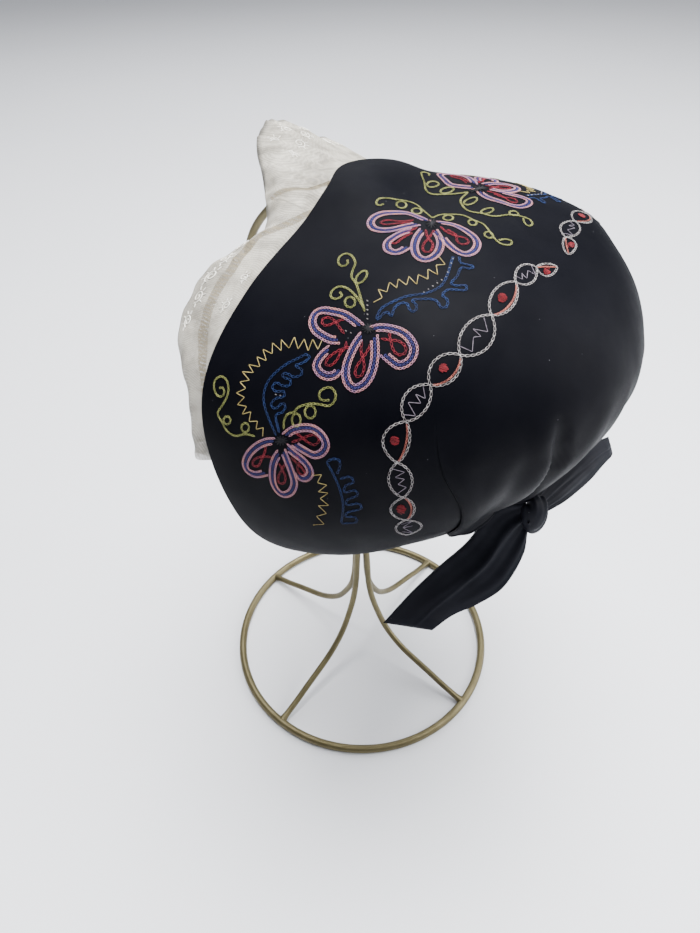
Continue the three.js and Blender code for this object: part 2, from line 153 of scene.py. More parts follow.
def make_piece(name, points, faces, material, slot):
    """A smooth mesh object from points in millimetres. It rides on the one body."""
    mesh = bpy.data.meshes.new(name)
    mesh.from_pydata((np.asarray(points) * MM + STAND).tolist(), [], np.asarray(faces).tolist())
    mesh.validate()
    mesh.polygons.foreach_set("use_smooth", [True] * len(mesh.polygons))
    mesh.materials.append(material)
    piece = bpy.data.objects.new(name, mesh)
    bpy.context.scene.collection.objects.link(piece)
    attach(piece, "root")
    return piece


def tube(line, radius, sides, closed=False):
    """Points and faces of a round wire along a line."""
    n = len(line)
    ahead = unit(np.roll(line, -1, 0) - np.roll(line, 1, 0)) if closed else unit(np.gradient(line, axis=0))
    side = np.zeros_like(line)
    side[0] = unit(np.cross(ahead[0], ASKEW))
    for i in range(1, n):
        side[i] = unit(side[i - 1] - ahead[i] * (side[i - 1] @ ahead[i]))
    other = np.cross(ahead, side)
    turn = np.arange(sides) * 2 * math.pi / sides
    radius = np.broadcast_to(radius, n)
    points = (line[:, None] + radius[:, None, None]
              * (np.cos(turn)[:, None] * side[:, None] + np.sin(turn)[:, None] * other[:, None]))
    faces = grid_faces(sides, n - 1, wraps=True)
    if closed:
        last = (n - 1) * sides + np.arange(sides)
        start = np.arange(sides)
        faces = np.vstack([faces, np.stack([last, np.roll(last, -1), np.roll(start, -1), start], -1)])
    return points.reshape(-1, 3), faces


def join(parts):
    """One list of points and faces from several."""
    points, faces, first = [], [], 0
    for part_points, part_faces in parts:
        points.append(part_points)
        faces.append(np.asarray(part_faces) + first)
        first += len(part_points)
    return np.vstack(points), np.vstack(faces)


def shader(name, nodes_made):
    """A new material, whose node tree nodes_made fills."""
    material = bpy.data.materials.new(name)
    material.use_nodes = True
    tree = material.node_tree
    nodes_made(tree, tree.nodes["Principled BSDF"])
    return material


def node_group(name, inputs, outputs, wired):
    """A shader node group with named inputs (name, kind, value) and outputs (name, kind)."""
    group = bpy.data.node_groups.new(name, "ShaderNodeTree")
    for title, kind, value in inputs:
        socket = group.interface.new_socket(title, in_out="INPUT", socket_type=kind)
        if value is not None:
            socket.default_value = value
    for title, kind in outputs:
        group.interface.new_socket(title, in_out="OUTPUT", socket_type=kind)
    given = group.nodes.new("NodeGroupInput")
    result = group.nodes.new("NodeGroupOutput")
    wired(group, given.outputs, result.inputs)
    return group


def supply(tree, socket, value):
    """Links a socket to an input, or sets the input to a plain value."""
    if isinstance(value, bpy.types.NodeSocket):
        tree.links.new(value, socket)
    else:
        socket.default_value = value


def feed(tree, node, **values):
    """Supplies the named inputs of a node."""
    for title, value in values.items():
        supply(tree, node.inputs[title.replace("_", " ")], value)
    return node


def place(tree, kind, settings=None, **values):
    """Adds a node, with its settings and what its inputs take."""
    node = tree.nodes.new(kind)
    for key, value in (settings or {}).items():
        setattr(node, key, value)
    return feed(tree, node, **values)


def place_group(tree, group, **values):
    return place(tree, "ShaderNodeGroup", {"node_tree": group}, **values)


def reckon(tree, operation, first, second):
    """One sum on two values in a node tree, such as ADD or LESS_THAN."""
    node = place(tree, "ShaderNodeMath", {"operation": operation})
    supply(tree, node.inputs[0], first)
    supply(tree, node.inputs[1], second)
    return node.outputs[0]


def wire_mottle(tree, given, result):
    noise = place(tree, "ShaderNodeTexNoise", Vector=given["Vector"], Scale=given["Scale"], Detail=3.0,
                  Roughness=0.6)
    spread = place(tree, "ShaderNodeMapRange", Value=noise.outputs["Fac"], From_Min=0.3, From_Max=0.7,
                   To_Min=given["Low"], To_Max=given["High"])
    supply(tree, result["Value"], spread.outputs["Result"])


MOTTLE = node_group(
    "uneven_patches",
    [("Vector", "NodeSocketVector", None), ("Scale", "NodeSocketFloat", 50.0),
     ("Low", "NodeSocketFloat", 0.0), ("High", "NodeSocketFloat", 1.0)],
    [("Value", "NodeSocketFloat")],
    wire_mottle,
)


def in_patches(tree, where, scale, dark, light):
    """A colour that goes softly from a dark tone to a light one and back over the surface."""
    tone = place_group(tree, MOTTLE, Vector=where, Scale=scale)
    shade = place(tree, "ShaderNodeValToRGB", Fac=tone.outputs["Value"])
    for element, colour in zip(shade.color_ramp.elements, (dark, light)):
        element.color = (*colour, 1)
    return shade.outputs["Color"]


def gold_paint(tree, surface):
    where = place(tree, "ShaderNodeTexCoord").outputs["Object"]
    colour = in_patches(tree, where, scale=90.0, dark=(0.110, 0.092, 0.044), light=(0.160, 0.136, 0.070))
    gloss = place_group(tree, MOTTLE, Vector=where, Scale=240.0, Low=0.36, High=0.5)
    grain = place(tree, "ShaderNodeTexNoise", Vector=where, Scale=1400.0, Detail=2.0)
    bump = place(tree, "ShaderNodeBump", Strength=0.25, Distance=0.00008, Height=grain.outputs["Fac"])
    feed(tree, surface, Base_Color=colour, Roughness=gloss.outputs["Value"], Metallic=0.75,
         Normal=bump.outputs["Normal"])


GOLD = shader("gold_paint", gold_paint)
turn = np.linspace(0, 2 * math.pi, RING_STEPS, endpoint=False)
ring_line = np.column_stack([RING_RADIUS * np.cos(turn), RING_RADIUS * np.sin(turn),
                             np.full(len(turn), RING_WIRE / 2 - RING_FLAT)])
stand_parts = [tube(ring_line, RING_WIRE / 2, RING_SIDES, closed=True)]
stand_parts[0][0][:, 2] = np.maximum(stand_parts[0][0][:, 2], 0)
for leg in range(4):
    heading = FIRST_LEG + leg * math.pi / 2
    bends = np.column_stack([LEG_BENDS["out"] * math.cos(heading), LEG_BENDS["out"] * math.sin(heading),
                             LEG_BENDS["up"]])
    wire = curve_through(bends, step=WIRE_STEP)
    solder = SOLDER_HIGH * np.exp(-((np.arange(len(wire)) * WIRE_STEP - SOLDER_AT) / SOLDER_LONG) ** 2)
    stand_parts.append(tube(wire, CAGE_WIRE / 2 + solder, WIRE_SIDES))
stand = make_piece("stand_wires", *join(stand_parts), GOLD, "gold_wire")
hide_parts("wire_stand")


# The bonnet's satin. Black satin over a stiff lined form, rounded over the ears and open to the
# face; behind each ear a fold line starts, and from there the satin is pleated in to the nape.
CROWN_HALF_WIDTH = 88
CROWN_BACK = 110.7
CROWN_FRONT = 98.9
CROWN_ABOVE = 61.4
CROWN_BELOW = 88.8
CROWN_MIDDLE = np.array([0, 0.5, 226.7])
CROWN_SQUARENESS = 2.2
CROWN_LEAN = 0.134
CROWN_TAPER = 0.027
CROWN_TAPER_LENGTH = 60
FORM_GUESS = 80.0
FORM_ROUNDS = 8
POLE_RISE = math.radians(38)
POLE_FLAT = -1.6
POLE_WIDE = 0.5
MID_AT = 0.45
RIM_AT = 0.9
FULLNESS_WIDE = 0.45
WALL = 2.3
SEAT_ROLL = math.radians(1.9)
SEAT_SHIFT = 5.1
SEAT_HEIGHT = 212
CROWN_ROWS = table(
    "round reach mid rim",
    (-40, 59.5, -0.3, -1.8), (-20, 54.8, -2.8, 3.0), (0, 57.4, -3.8, 4.6), (20, 54.8, -2.8, 3.0),
    (40, 59.5, -0.3, -1.8), (60, 71.9, 0.6, -2.8), (80, 86.8, 4.1, 0.8), (100, 95.0, 8.8, 5.4),
    (115, 97.2, 7.4, 7.2), (130, 90.3, 5.4, 2.7), (145, 79.1, 3.0, -4.6), (160, 68.6, 1.3, -7.4),
    (180, 64.5, 0.4, -4.6), (200, 68.6, 1.3, -7.4),
)
PLEAT_RISE = 0.47
PLEAT_TOP = 0.51
PLEAT_HEM = 1.015
HEM_RISE = 0.07
HEM_RISE_MIDDLE = 169
HEM_RISE_SPREAD = 26
PLEAT_EDGE = table(
    "down round",
    (0.47, 106), (0.52, 115), (0.58, 124.5), (0.65, 131.5), (0.75, 137.5), (0.9, 145.5), (1.02, 151),
)
PLEAT_FOLDS = table(
    "upper lower wide high hem",
    (214, 203, 54, 1.2, 2.5), (168, 184, 26, 0, -2.7), (118, 156, 9, 1.4, 1.6), (137, 163, 8, -1.4, -2),
    (156, 170, 9, 1.2, 1.6), (182, 180, 8, -0.8, -1.6), (207, 192, 10, 1.4, 1.2), (226, 201, 8, -1.2, -1.4),
    (240, 208, 9, 1.6, 1.4), (220.5, 195.5, 3.4, -2.4, -1),
)
FOLDS_FROM = 0.4
FOLDS_FADE = 0.17
PUFF_FADE = 0.08
GROOVE = table(
    "down round deep",
    (0.38, 134, 0), (0.441, 139.6, 1.4), (0.521, 145.6, 3.2), (0.597, 149.4, 3.8), (0.726, 154.9, 3.6),
    (0.875, 160, 2.6), (1.02, 163, 1.4),
)
GROOVE_WIDE = 3.4
FOLD_BESIDE = 5.6
FOLD_WIDE = 5
FOLD_SHARE = 0.5


def along(rows, key, column, at):
    """Reads one column of a table between its rows, with a smooth curve through them."""
    k, c = rows[key], rows[column]
    at = np.asarray(at, float)
    i = np.clip(np.searchsorted(k, at) - 1, 0, len(k) - 2)
    before, after = np.maximum(i - 1, 0), np.minimum(i + 2, len(k) - 1)
    step = k[i + 1] - k[i]
    s = np.clip((at - k[i]) / step, 0, 1)
    slope_a = (c[i + 1] - c[before]) / (k[i + 1] - k[before]) * step
    slope_b = (c[after] - c[i]) / (k[after] - k[i]) * step
    return (c[i] * (2 * s**3 - 3 * s**2 + 1) + slope_a * (s**3 - 2 * s**2 + s)
            + c[i + 1] * (3 * s**2 - 2 * s**3) + slope_b * (s**3 - s**2))


def smooth(x):
    s = np.clip(x, 0, 1)
    return s * s * (3 - 2 * s)


def hump(x, middle, width):
    """A soft hump of height 1 at its middle, gone at its width on either side."""
    return np.clip(1 - ((x - middle) / width) ** 2, 0, 1) ** 2


def crown(column, around):
    return along(CROWN_ROWS, "round", column, np.abs((around + 180) % 360 - 180))


def crown_form(direction):
    """How far out the plain crown form lies from its middle in each direction."""
    r = np.full(len(direction), FORM_GUESS)
    c, s = math.cos(CROWN_LEAN), math.sin(CROWN_LEAN)
    for _ in range(FORM_ROUNDS):
        x, y0, z0 = (direction * r[:, None]).T
        y, z = c * y0 + s * z0, c * z0 - s * y0
        half = CROWN_HALF_WIDTH * (1 + CROWN_TAPER * np.tanh(-y / CROWN_TAPER_LENGTH))
        depth = np.where(y > 0, CROWN_BACK, CROWN_FRONT)
        rise = np.where(z > 0, CROWN_ABOVE, CROWN_BELOW)
        ring = np.abs(x / half) ** CROWN_SQUARENESS + np.abs(z / rise) ** CROWN_SQUARENESS
        r = r / np.sqrt(ring ** (2 / CROWN_SQUARENESS) + (y / depth) ** 2)
    return r


def crown_fullness(around, down):
    return (POLE_FLAT * hump(down, 0, POLE_WIDE) + crown("mid", around) * hump(down, MID_AT, FULLNESS_WIDE)
            + crown("rim", around) * hump(down, RIM_AT, FULLNESS_WIDE))


def bonnet_point(around, down, outside):
    """A point of the bonnet: degrees round the crown's pole from the forehead towards the wearer's
    left, part of the way down from the pole to the edge, and distance outside the satin."""
    around, down, outside = np.broadcast_arrays(np.asarray(around, float), down, outside)
    angle = np.radians(crown("reach", around)) * down
    turned = np.radians(around)
    side = np.sin(turned) * np.sin(angle)
    front = np.cos(turned) * np.sin(angle)
    direction = np.stack([
        side,
        np.cos(angle) * math.cos(POLE_RISE) - front * math.sin(POLE_RISE),
        np.cos(angle) * math.sin(POLE_RISE) + front * math.cos(POLE_RISE),
    ], -1).reshape(-1, 3)
    r = crown_form(direction) + (crown_fullness(around, down) + outside).ravel()
    p = direction * r[:, None] + CROWN_MIDDLE
    x, z = p[:, 0] + SEAT_SHIFT, p[:, 2] - SEAT_HEIGHT
    c, s = math.cos(SEAT_ROLL), math.sin(SEAT_ROLL)
    return np.column_stack([c * x - s * z, p[:, 1], s * x + c * z + SEAT_HEIGHT])


def bonnet_place(points):
    """The reverse of bonnet_point: where round the pole, how far down and how far outside the satin."""
    c, s = math.cos(SEAT_ROLL), math.sin(SEAT_ROLL)
    x, z = points[:, 0], points[:, 2] - SEAT_HEIGHT
    p = np.column_stack([c * x + s * z - SEAT_SHIFT, points[:, 1], -s * x + c * z + SEAT_HEIGHT])
    p = p - CROWN_MIDDLE
    far = np.linalg.norm(p, axis=1)
    d = p / far[:, None]
    cos_angle = d[:, 1] * math.cos(POLE_RISE) + d[:, 2] * math.sin(POLE_RISE)
    front = -d[:, 1] * math.sin(POLE_RISE) + d[:, 2] * math.cos(POLE_RISE)
    around = np.degrees(np.arctan2(d[:, 0], front)) % 360
    down = np.arccos(np.clip(cos_angle, -1, 1)) / np.radians(crown("reach", around))
    return around, down, far - crown_form(d) - crown_fullness(around, down)


def pleat_edge(down):
    return along(PLEAT_EDGE, "down", "round", np.clip(down, PLEAT_RISE, PLEAT_EDGE["down"][-1]))


def nape_puff(around, level):
    """How far the pleated satin swells or sinks, and how much further down it reaches."""
    v = np.clip((level - PLEAT_TOP) / (PLEAT_HEM - PLEAT_TOP), 0, 1)
    puff = np.zeros(np.broadcast(around, level).shape)
    for upper, lower, wide, high, hem in zip(*PLEAT_FOLDS.values()):
        puff = puff + (high + (hem - high) * v) * hump(around, upper + (lower - upper) * v, wide)
    edge = pleat_edge(level)
    part = np.clip((around - edge) / (360 - 2 * edge), 0, 1)
    free = (smooth(part / PUFF_FADE) * smooth((1 - part) / PUFF_FADE)
            * smooth((level - FOLDS_FROM) / FOLDS_FADE))
    middle = along(GROOVE, "down", "round", level)
    deep = along(GROOVE, "down", "deep", level)
    beside = FOLD_SHARE * hump(around, middle - FOLD_BESIDE, FOLD_WIDE)
    groove = deep * (beside - hump(around, middle, GROOVE_WIDE))
    drawn_up = HEM_RISE * hump(around, HEM_RISE_MIDDLE, HEM_RISE_SPREAD) * smooth(v)
    return puff * free + groove, (PLEAT_HEM - 1) * smooth(v) - drawn_up


SIDE_COLUMNS = 84
NAPE_COLUMNS = 104
HEM_FINE_FROM = 0.96
COVER_LEVELS = np.concatenate([np.linspace(0, HEM_FINE_FROM, 98), np.linspace(HEM_FINE_FROM, 1, 16)[1:]])
COVER_ROWS = len(COVER_LEVELS) - 1
HEM_TURN = 0.009
HEM_PIPING = 0.5
PIPING = table("share middle wide", (1, 0.991, 0.011), (-0.7, 0.974, 0.008))
TUCK = table(
    "turn outside",
    (1.8, 0), (3.3, -0.8), (3.0, -1.4), (1.4, 0.1), (0.9, 0.6), (1.3, 1.0), (2.8, 0.8),
)
TUCK_ON_SIDE = 3
TUCK_END = 3.0
TUCK_LENGTH = 0.16
TUCK_APART = 0.02
SETTLE_HIGH = 0.9
SETTLE_WIDE = 0.06
SETTLE_LENGTH = 0.1
INSIDE_TUCK = 0.3
INSIDE_PUFF = 0.8
INSIDE_PUFF_MOST = 4


def satin_cover():
    """The satin from pole to hem: outside face, piped hem and inside face as one closed cloth."""
    rows = COVER_LEVELS
    columns = []
    deep = smooth((rows - PLEAT_RISE) / TUCK_LENGTH)
    for mirrored in (False, True):
        half = []
        for part in np.linspace(0, 1, SIDE_COLUMNS, endpoint=False):
            half.append(((pleat_edge(rows) + TUCK["turn"][0] * deep) * part, np.zeros_like(rows), False))
        for k in range(len(TUCK["turn"])):
            turned = TUCK["turn"][k] * deep + TUCK_APART * k
            half.append((pleat_edge(rows) + turned, TUCK["outside"][k] * deep, k >= TUCK_ON_SIDE))
        for part in np.linspace(0, 0.5, NAPE_COLUMNS // 2 + 1)[1:None if not mirrored else -1]:
            edge = pleat_edge(rows) + TUCK_END
            settle = (SETTLE_HIGH * (1 - smooth(part / SETTLE_WIDE))
                      * smooth((rows - PLEAT_RISE) / SETTLE_LENGTH))
            half.append((edge + (360 - 2 * edge) * part, settle, True))
        if mirrored:
            half = [(360 - around, out, nape) for around, out, nape in half[:0:-1]]
        columns += half
    outer, inner, rim = [], [], []
    for around, out, nape in columns:
        puff, drop = nape_puff(around, rows) if nape else (0 * rows, 0)
        down = rows + drop
        edging = sum(share * hump(rows, middle, wide) for share, middle, wide in zip(*PIPING.values()))
        piping = nape * HEM_PIPING * edging
        within = np.minimum(out, 0) * INSIDE_TUCK + np.minimum(puff, INSIDE_PUFF_MOST) * INSIDE_PUFF
        outer.append(bonnet_point(around, down, out + puff + piping))
        inner.append(bonnet_point(around, down, within - WALL))
        rim.append(bonnet_point(around[-1:], down[-1:] + HEM_TURN, out[-1:] + puff[-1:] - WALL / 2)[0])
    outer, inner, rim = (np.stack(part, -2) for part in (outer, inner, rim))
    points = np.vstack([outer.reshape(-1, 3), rim.reshape(-1, 3), inner[::-1].reshape(-1, 3)])
    return points, grid_faces(len(columns), 2 * COVER_ROWS + 2, wraps=True)


WEAVE_TURN = (0.6, 0.5, 0.3)
LINT_FEW = 0.93


def wire_weave(tree, given, result):
    """Fine crossed threads in the plane that the surface faces most, as a height."""
    turned = place(tree, "ShaderNodeVectorRotate", {"rotation_type": "EULER_XYZ"}, Vector=given["Vector"],
                   Rotation=WEAVE_TURN)
    waves = [place(tree, "ShaderNodeTexWave", {"wave_type": "BANDS", "bands_direction": direction},
                   Vector=turned.outputs["Vector"], Scale=given["Scale"], Distortion=0.6,
                   Detail=1.0).outputs["Fac"] for direction in "XYZ"]
    total = reckon(tree, "ADD", reckon(tree, "ADD", waves[0], waves[1]), waves[2])
    supply(tree, result["Height"], reckon(tree, "DIVIDE", total, float(len(waves))))


WEAVE = node_group(
    "crossed_threads",
    [("Vector", "NodeSocketVector", None), ("Scale", "NodeSocketFloat", 900.0)],
    [("Height", "NodeSocketFloat")],
    wire_weave,
)


def wire_lint(tree, given, result):
    """Sparse specks of pale dust, 1 on a speck and 0 beside it."""
    cells = place(tree, "ShaderNodeTexVoronoi", {"feature": "F1"}, Vector=given["Vector"],
                  Scale=given["Scale"], Randomness=1.0)
    split = place(tree, "ShaderNodeSeparateColor", Color=cells.outputs["Color"])
    speck = reckon(tree, "LESS_THAN", cells.outputs["Distance"], given["Size"])
    chosen = reckon(tree, "GREATER_THAN", split.outputs["Red"], LINT_FEW)
    supply(tree, result["Mask"], reckon(tree, "MULTIPLY", speck, chosen))


LINT = node_group(
    "sparse_lint",
    [("Vector", "NodeSocketVector", None), ("Scale", "NodeSocketFloat", 260.0),
     ("Size", "NodeSocketFloat", 0.05)],
    [("Mask", "NodeSocketFloat")],
    wire_lint,
)
LINT_COLOUR = (0.09, 0.09, 0.10, 1)


def black_cloth(dark, light, shine):
    """Black satin with faint uneven patches, a little lint and a fine weave."""
    def made(tree, surface):
        where = place(tree, "ShaderNodeTexCoord").outputs["Object"]
        lint = place_group(tree, LINT, Vector=where, Scale=420.0, Size=0.06)
        dusted = place(tree, "ShaderNodeMix", {"data_type": "RGBA"}, Factor=lint.outputs["Mask"],
                       A=in_patches(tree, where, scale=35.0, dark=dark, light=light), B=LINT_COLOUR)
        gloss = place_group(tree, MOTTLE, Vector=where, Scale=60.0, Low=0.5, High=0.6)
        weave = place_group(tree, WEAVE, Vector=where, Scale=1100.0)
        pucker = place(tree, "ShaderNodeTexNoise", Vector=where, Scale=70.0, Detail=2.0)
        broad = place(tree, "ShaderNodeBump", Strength=0.12, Distance=0.0012, Height=pucker.outputs["Fac"])
        fine = place(tree, "ShaderNodeBump", Strength=0.22, Distance=0.00012,
                     Height=weave.outputs["Height"], Normal=broad.outputs["Normal"])
        feed(tree, surface, Base_Color=dusted.outputs["Result"], Roughness=gloss.outputs["Value"],
             Normal=fine.outputs["Normal"], Specular_IOR_Level=shine)
    return made


def dark_lining(tree, surface):
    where = place(tree, "ShaderNodeTexCoord").outputs["Object"]
    weave = place_group(tree, WEAVE, Vector=where, Scale=520.0)
    bump = place(tree, "ShaderNodeBump", Strength=0.4, Distance=0.0002, Height=weave.outputs["Height"])
    colour = in_patches(tree, where, scale=45.0, dark=(0.008, 0.0075, 0.008), light=(0.018, 0.017, 0.018))
    feed(tree, surface, Base_Color=colour, Roughness=0.85, Normal=bump.outputs["Normal"])


SATIN = shader("black_satin", black_cloth((0.0012, 0.0014, 0.0030), (0.0030, 0.0032, 0.0052), 0.032))
LINING = shader("dark_lining", dark_lining)
cover_points, cover_faces = satin_cover()
cover = make_piece("satin_cover", cover_points, cover_faces, SATIN, "black_satin")
cover.data.materials.append(LINING)
inside_from = (COVER_ROWS + 1) * (len(cover_points) // (2 * COVER_ROWS + 3))
for face in cover.data.polygons:
    face.material_index = 1 if min(face.vertices) >= inside_from else 0
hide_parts("bonnet_shell", "nape_pleats")


# The embroidery. Wool and silk threads, chain-stitched through the satin with a hook: each flower
# has petals of three rows round a looped red row, with tendrils, zigzags and branches between.
SIGHT_FROM, SIGHT_TO, SIGHT_STEP = 120, 330, 2
SIGHT_HALVINGS = 16
FACING_ROUND = 0.4
FACING_DOWN = 0.005
PIXEL_STEP = 1.2


def seen_on_bonnet(pixels):
    """Where sight lines through points of the photograph meet the satin, as (around, down)."""
    pixels = np.asarray(pixels, float)
    sight = unit(forward + ((pixels[:, :1] - PHOTO_WIDE / 2) / EYE_FOCUS) * right
                 + ((PHOTO_TALL / 2 - pixels[:, 1:2]) / EYE_FOCUS) * upward)
    steps = np.linspace(SIGHT_FROM, SIGHT_TO, (SIGHT_TO - SIGHT_FROM) // SIGHT_STEP + 1)
    clear = np.array([bonnet_place(EYE + sight * t)[2] for t in steps])
    hit = (clear < 0).any(0)
    first = np.where(hit, (clear < 0).argmax(0), clear.argmin(0))
    far = steps[first]
    near = steps[np.maximum(first - 1, 0)]
    for _ in range(SIGHT_HALVINGS):
        middle = (near + far) / 2
        inside = bonnet_place(EYE + sight * middle[:, None])[2] < 0
        far = np.where(inside, middle, far)
        near = np.where(inside, near, middle)
    around, down, _ = bonnet_place(EYE + sight * far[:, None])
    return np.column_stack([around, down])


def satin_height(around, down):
    """Extra height of the satin over the plain crown at a place."""
    edge = pleat_edge(down)
    nape = (around > edge) & (around < 360 - edge)
    return np.where(nape, nape_puff(around, down)[0], 0)


def on_satin(place_on, above=0.0):
    around, down = place_on[:, 0], place_on[:, 1]
    return bonnet_point(around, down, satin_height(around, down) + above)


def facing(place_on):
    """The satin's outward direction at each place."""
    around, down = place_on[:, 0], place_on[:, 1]
    a = bonnet_point(around + FACING_ROUND, down, 0) - bonnet_point(around - FACING_ROUND, down, 0)
    b = bonnet_point(around, down + FACING_DOWN, 0) - bonnet_point(around, down - FACING_DOWN, 0)
    n = unit(np.cross(a, b))
    out = bonnet_point(around, down, 1.0) - bonnet_point(around, down, 0)
    return n * np.sign((n * out).sum(1, keepdims=True))


def sewn_line(pixels, step=0.4):
    """A line on the satin, in millimetres, from points of the photograph."""
    fine = evenly(np.asarray(pixels, float), PIXEL_STEP)
    return evenly(on_satin(seen_on_bonnet(fine)), step)


def mirrored(line):
    """The same line on the wearer's other side."""
    around, down, _ = bonnet_place(line)
    return on_satin(np.column_stack([-around % 360, down]))


def inset(line, by):
    """The line moved sideways along the satin; a positive step goes to its right, seen from outside."""
    around, down, _ = bonnet_place(line)
    outward = facing(np.column_stack([around, down]))
    ahead = unit(np.gradient(line, axis=0))
    moved = line + unit(np.cross(ahead, outward)) * by
    around, down, _ = bonnet_place(moved)
    return on_satin(np.column_stack([around, down]))


LINK_POINTS = 10
LINK_OVERLAP = 1.22
LINK_NECK = 0.2
LINK_BELLY = 1.05
LINK_LOW = 0.9
LINK_RISE = 1.1
LINK_SIGHT = 0.25
THREAD_SIDES = 4
LAID_SIDES = 6


def chain_stitch(line, wide=0.8, pitch=1.15, thread=0.1):
    """A row of chain stitches along a line: each stitch is a loop of thread that the next one holds."""
    run = np.concatenate([[0], np.cumsum(np.linalg.norm(np.diff(line, axis=0), axis=1))])
    count = max(int(round(run[-1] / pitch)), 1)
    pitch = run[-1] / count
    around, down, _ = bonnet_place(line)
    outward = facing(np.column_stack([around, down]))

    def at(values, s):
        return np.column_stack([np.interp(s, run, values[:, k]) for k in range(3)])

    turn = (np.arange(LINK_POINTS) + 0.5) * 2 * math.pi / LINK_POINTS
    part = (1 - np.cos(turn)) / 2
    across = (wide / 2 - thread / 2) * np.sin(turn) * (LINK_NECK + LINK_BELLY * part)
    lift = thread * (LINK_LOW + LINK_RISE * (1 - part))
    starts = np.arange(count)[:, None] * pitch
    s = np.clip(starts + pitch * LINK_OVERLAP * (1 - np.cos(turn)) / 2, 0, run[-1]).ravel()
    up = unit(at(outward, s))
    back, forth = (np.clip(s + sight, 0, run[-1]) for sight in (-LINK_SIGHT, LINK_SIGHT))
    ahead = unit(at(line, forth) - at(line, back))
    side = unit(np.cross(ahead, up))
    centre = (at(line, s) + side * np.tile(across, count)[:, None] + up * np.tile(lift, count)[:, None])
    centre = centre.reshape(count, LINK_POINTS, 3)
    up = up.reshape(count, LINK_POINTS, 3)
    ahead = unit(np.roll(centre, -1, 1) - np.roll(centre, 1, 1))
    side = unit(np.cross(ahead, up))
    up = np.cross(side, ahead)
    sides = np.arange(THREAD_SIDES) * 2 * math.pi / THREAD_SIDES + math.pi / 4
    ring = (centre[:, :, None] + thread * (np.cos(sides)[:, None] * side[:, :, None]
                                           + np.sin(sides)[:, None] * up[:, :, None]))
    i, j = np.meshgrid(np.arange(THREAD_SIDES), np.arange(LINK_POINTS))
    here, there = j * THREAD_SIDES, (j + 1) % LINK_POINTS * THREAD_SIDES
    beside = (i + 1) % THREAD_SIDES
    one = np.stack([here + i, here + beside, there + beside, there + i], -1)
    first = np.arange(count) * LINK_POINTS * THREAD_SIDES
    return ring.reshape(-1, 3), (one.reshape(1, -1, 4) + first[:, None, None]).reshape(-1, 4)


def laid_thread(line, thread=0.1):
    """A single straight thread laid on the satin."""
    around, down, _ = bonnet_place(line)
    outward = facing(np.column_stack([around, down]))
    return tube(line + outward * thread * LINK_LOW, thread, LAID_SIDES)


chance = np.random.default_rng(7)


def fringed(line_px, teeth, reach, uneven=0.16):
    """A zigzag about a guide line: sharp teeth, each reach to either side, in pixels of the photo."""
    guide = curve_through(line_px, step=1.0)
    run = np.linspace(0, len(guide) - 1, 2 * teeth + 1)
    run[1:-1] += chance.normal(0, uneven, 2 * teeth - 1) * (run[1] - run[0])
    spot = np.column_stack([np.interp(run, np.arange(len(guide)), guide[:, k]) for k in range(2)])
    ahead = unit(np.gradient(guide, axis=0))
    ahead = np.column_stack([np.interp(run, np.arange(len(guide)), ahead[:, k]) for k in range(2)])
    across = np.column_stack([-ahead[:, 1], ahead[:, 0]])
    size = np.interp(run, [0, len(guide) - 1], reach) * (1 + chance.normal(0, uneven, len(run)))
    sign = np.where(np.arange(len(spot)) % 2 == 0, 1, -1)
    return spot + across * (size * sign)[:, None]


SMALL_LOOP_STEPS = 25


def small_loop(middle, wide, tall, lean):
    turn = np.linspace(0, 2 * math.pi, SMALL_LOOP_STEPS)
    x, y = wide * np.cos(turn), tall * np.sin(turn)
    c, s = math.cos(lean), math.sin(lean)
    return np.column_stack([middle[0] + c * x - s * y, middle[1] + s * x + c * y])


# Points of each motif are pixels of the photograph, read off on the wearer's left side.
# The wearer's right side has the same motifs the other way round.
EAR_FLOWER = {
    "petals": [
        [(282.5, 434), (291, 427.5), (301, 424.7), (314, 425.8), (325, 434.5), (329.1, 446), (324, 455),
         (315, 457.9), (304, 453), (292, 445.5)],
        [(287.3, 443.7), (294.4, 450.2), (305.2, 458.9), (311.7, 467.6), (312.8, 475.1), (307.4, 480.6),
         (299.8, 479.5), (295.5, 473)],
        [(278.1, 449.7), (272.7, 457.8), (270, 470.8), (271.6, 483.8), (278.1, 493.6), (285.7, 496.8),
         (293.3, 493.6), (297.1, 484.9), (294.9, 474.1), (290, 461), (285.2, 449.1)],
        [(275.4, 438.3), (266.2, 438.8), (255.4, 443.7), (246.7, 452.4), (242.9, 463.2), (246.7, 471.9),
         (256.4, 476.8), (267.8, 475)],
    ],
    "hearts": [
        [(292, 442), (300, 439.5), (309, 435.5), (316, 435), (319.3, 440), (315, 444.8), (307, 441.5),
         (300, 435.5), (294, 432)],
        [(291, 457), (297, 463), (303, 469), (305.5, 474), (301, 474.5), (297.5, 468), (300, 461),
         (296, 454.5)],
        [(279.2, 463.2), (282.5, 469.7), (285.7, 477), (284, 483), (279.5, 483), (278.5, 477), (282, 469.7),
         (285.7, 463.2)],
        [(271.6, 457), (262, 456.5), (254, 460), (253, 465), (258, 466), (262, 459), (265, 452), (266, 447)],
    ],
    "centre": (281.4, 440.5),
}
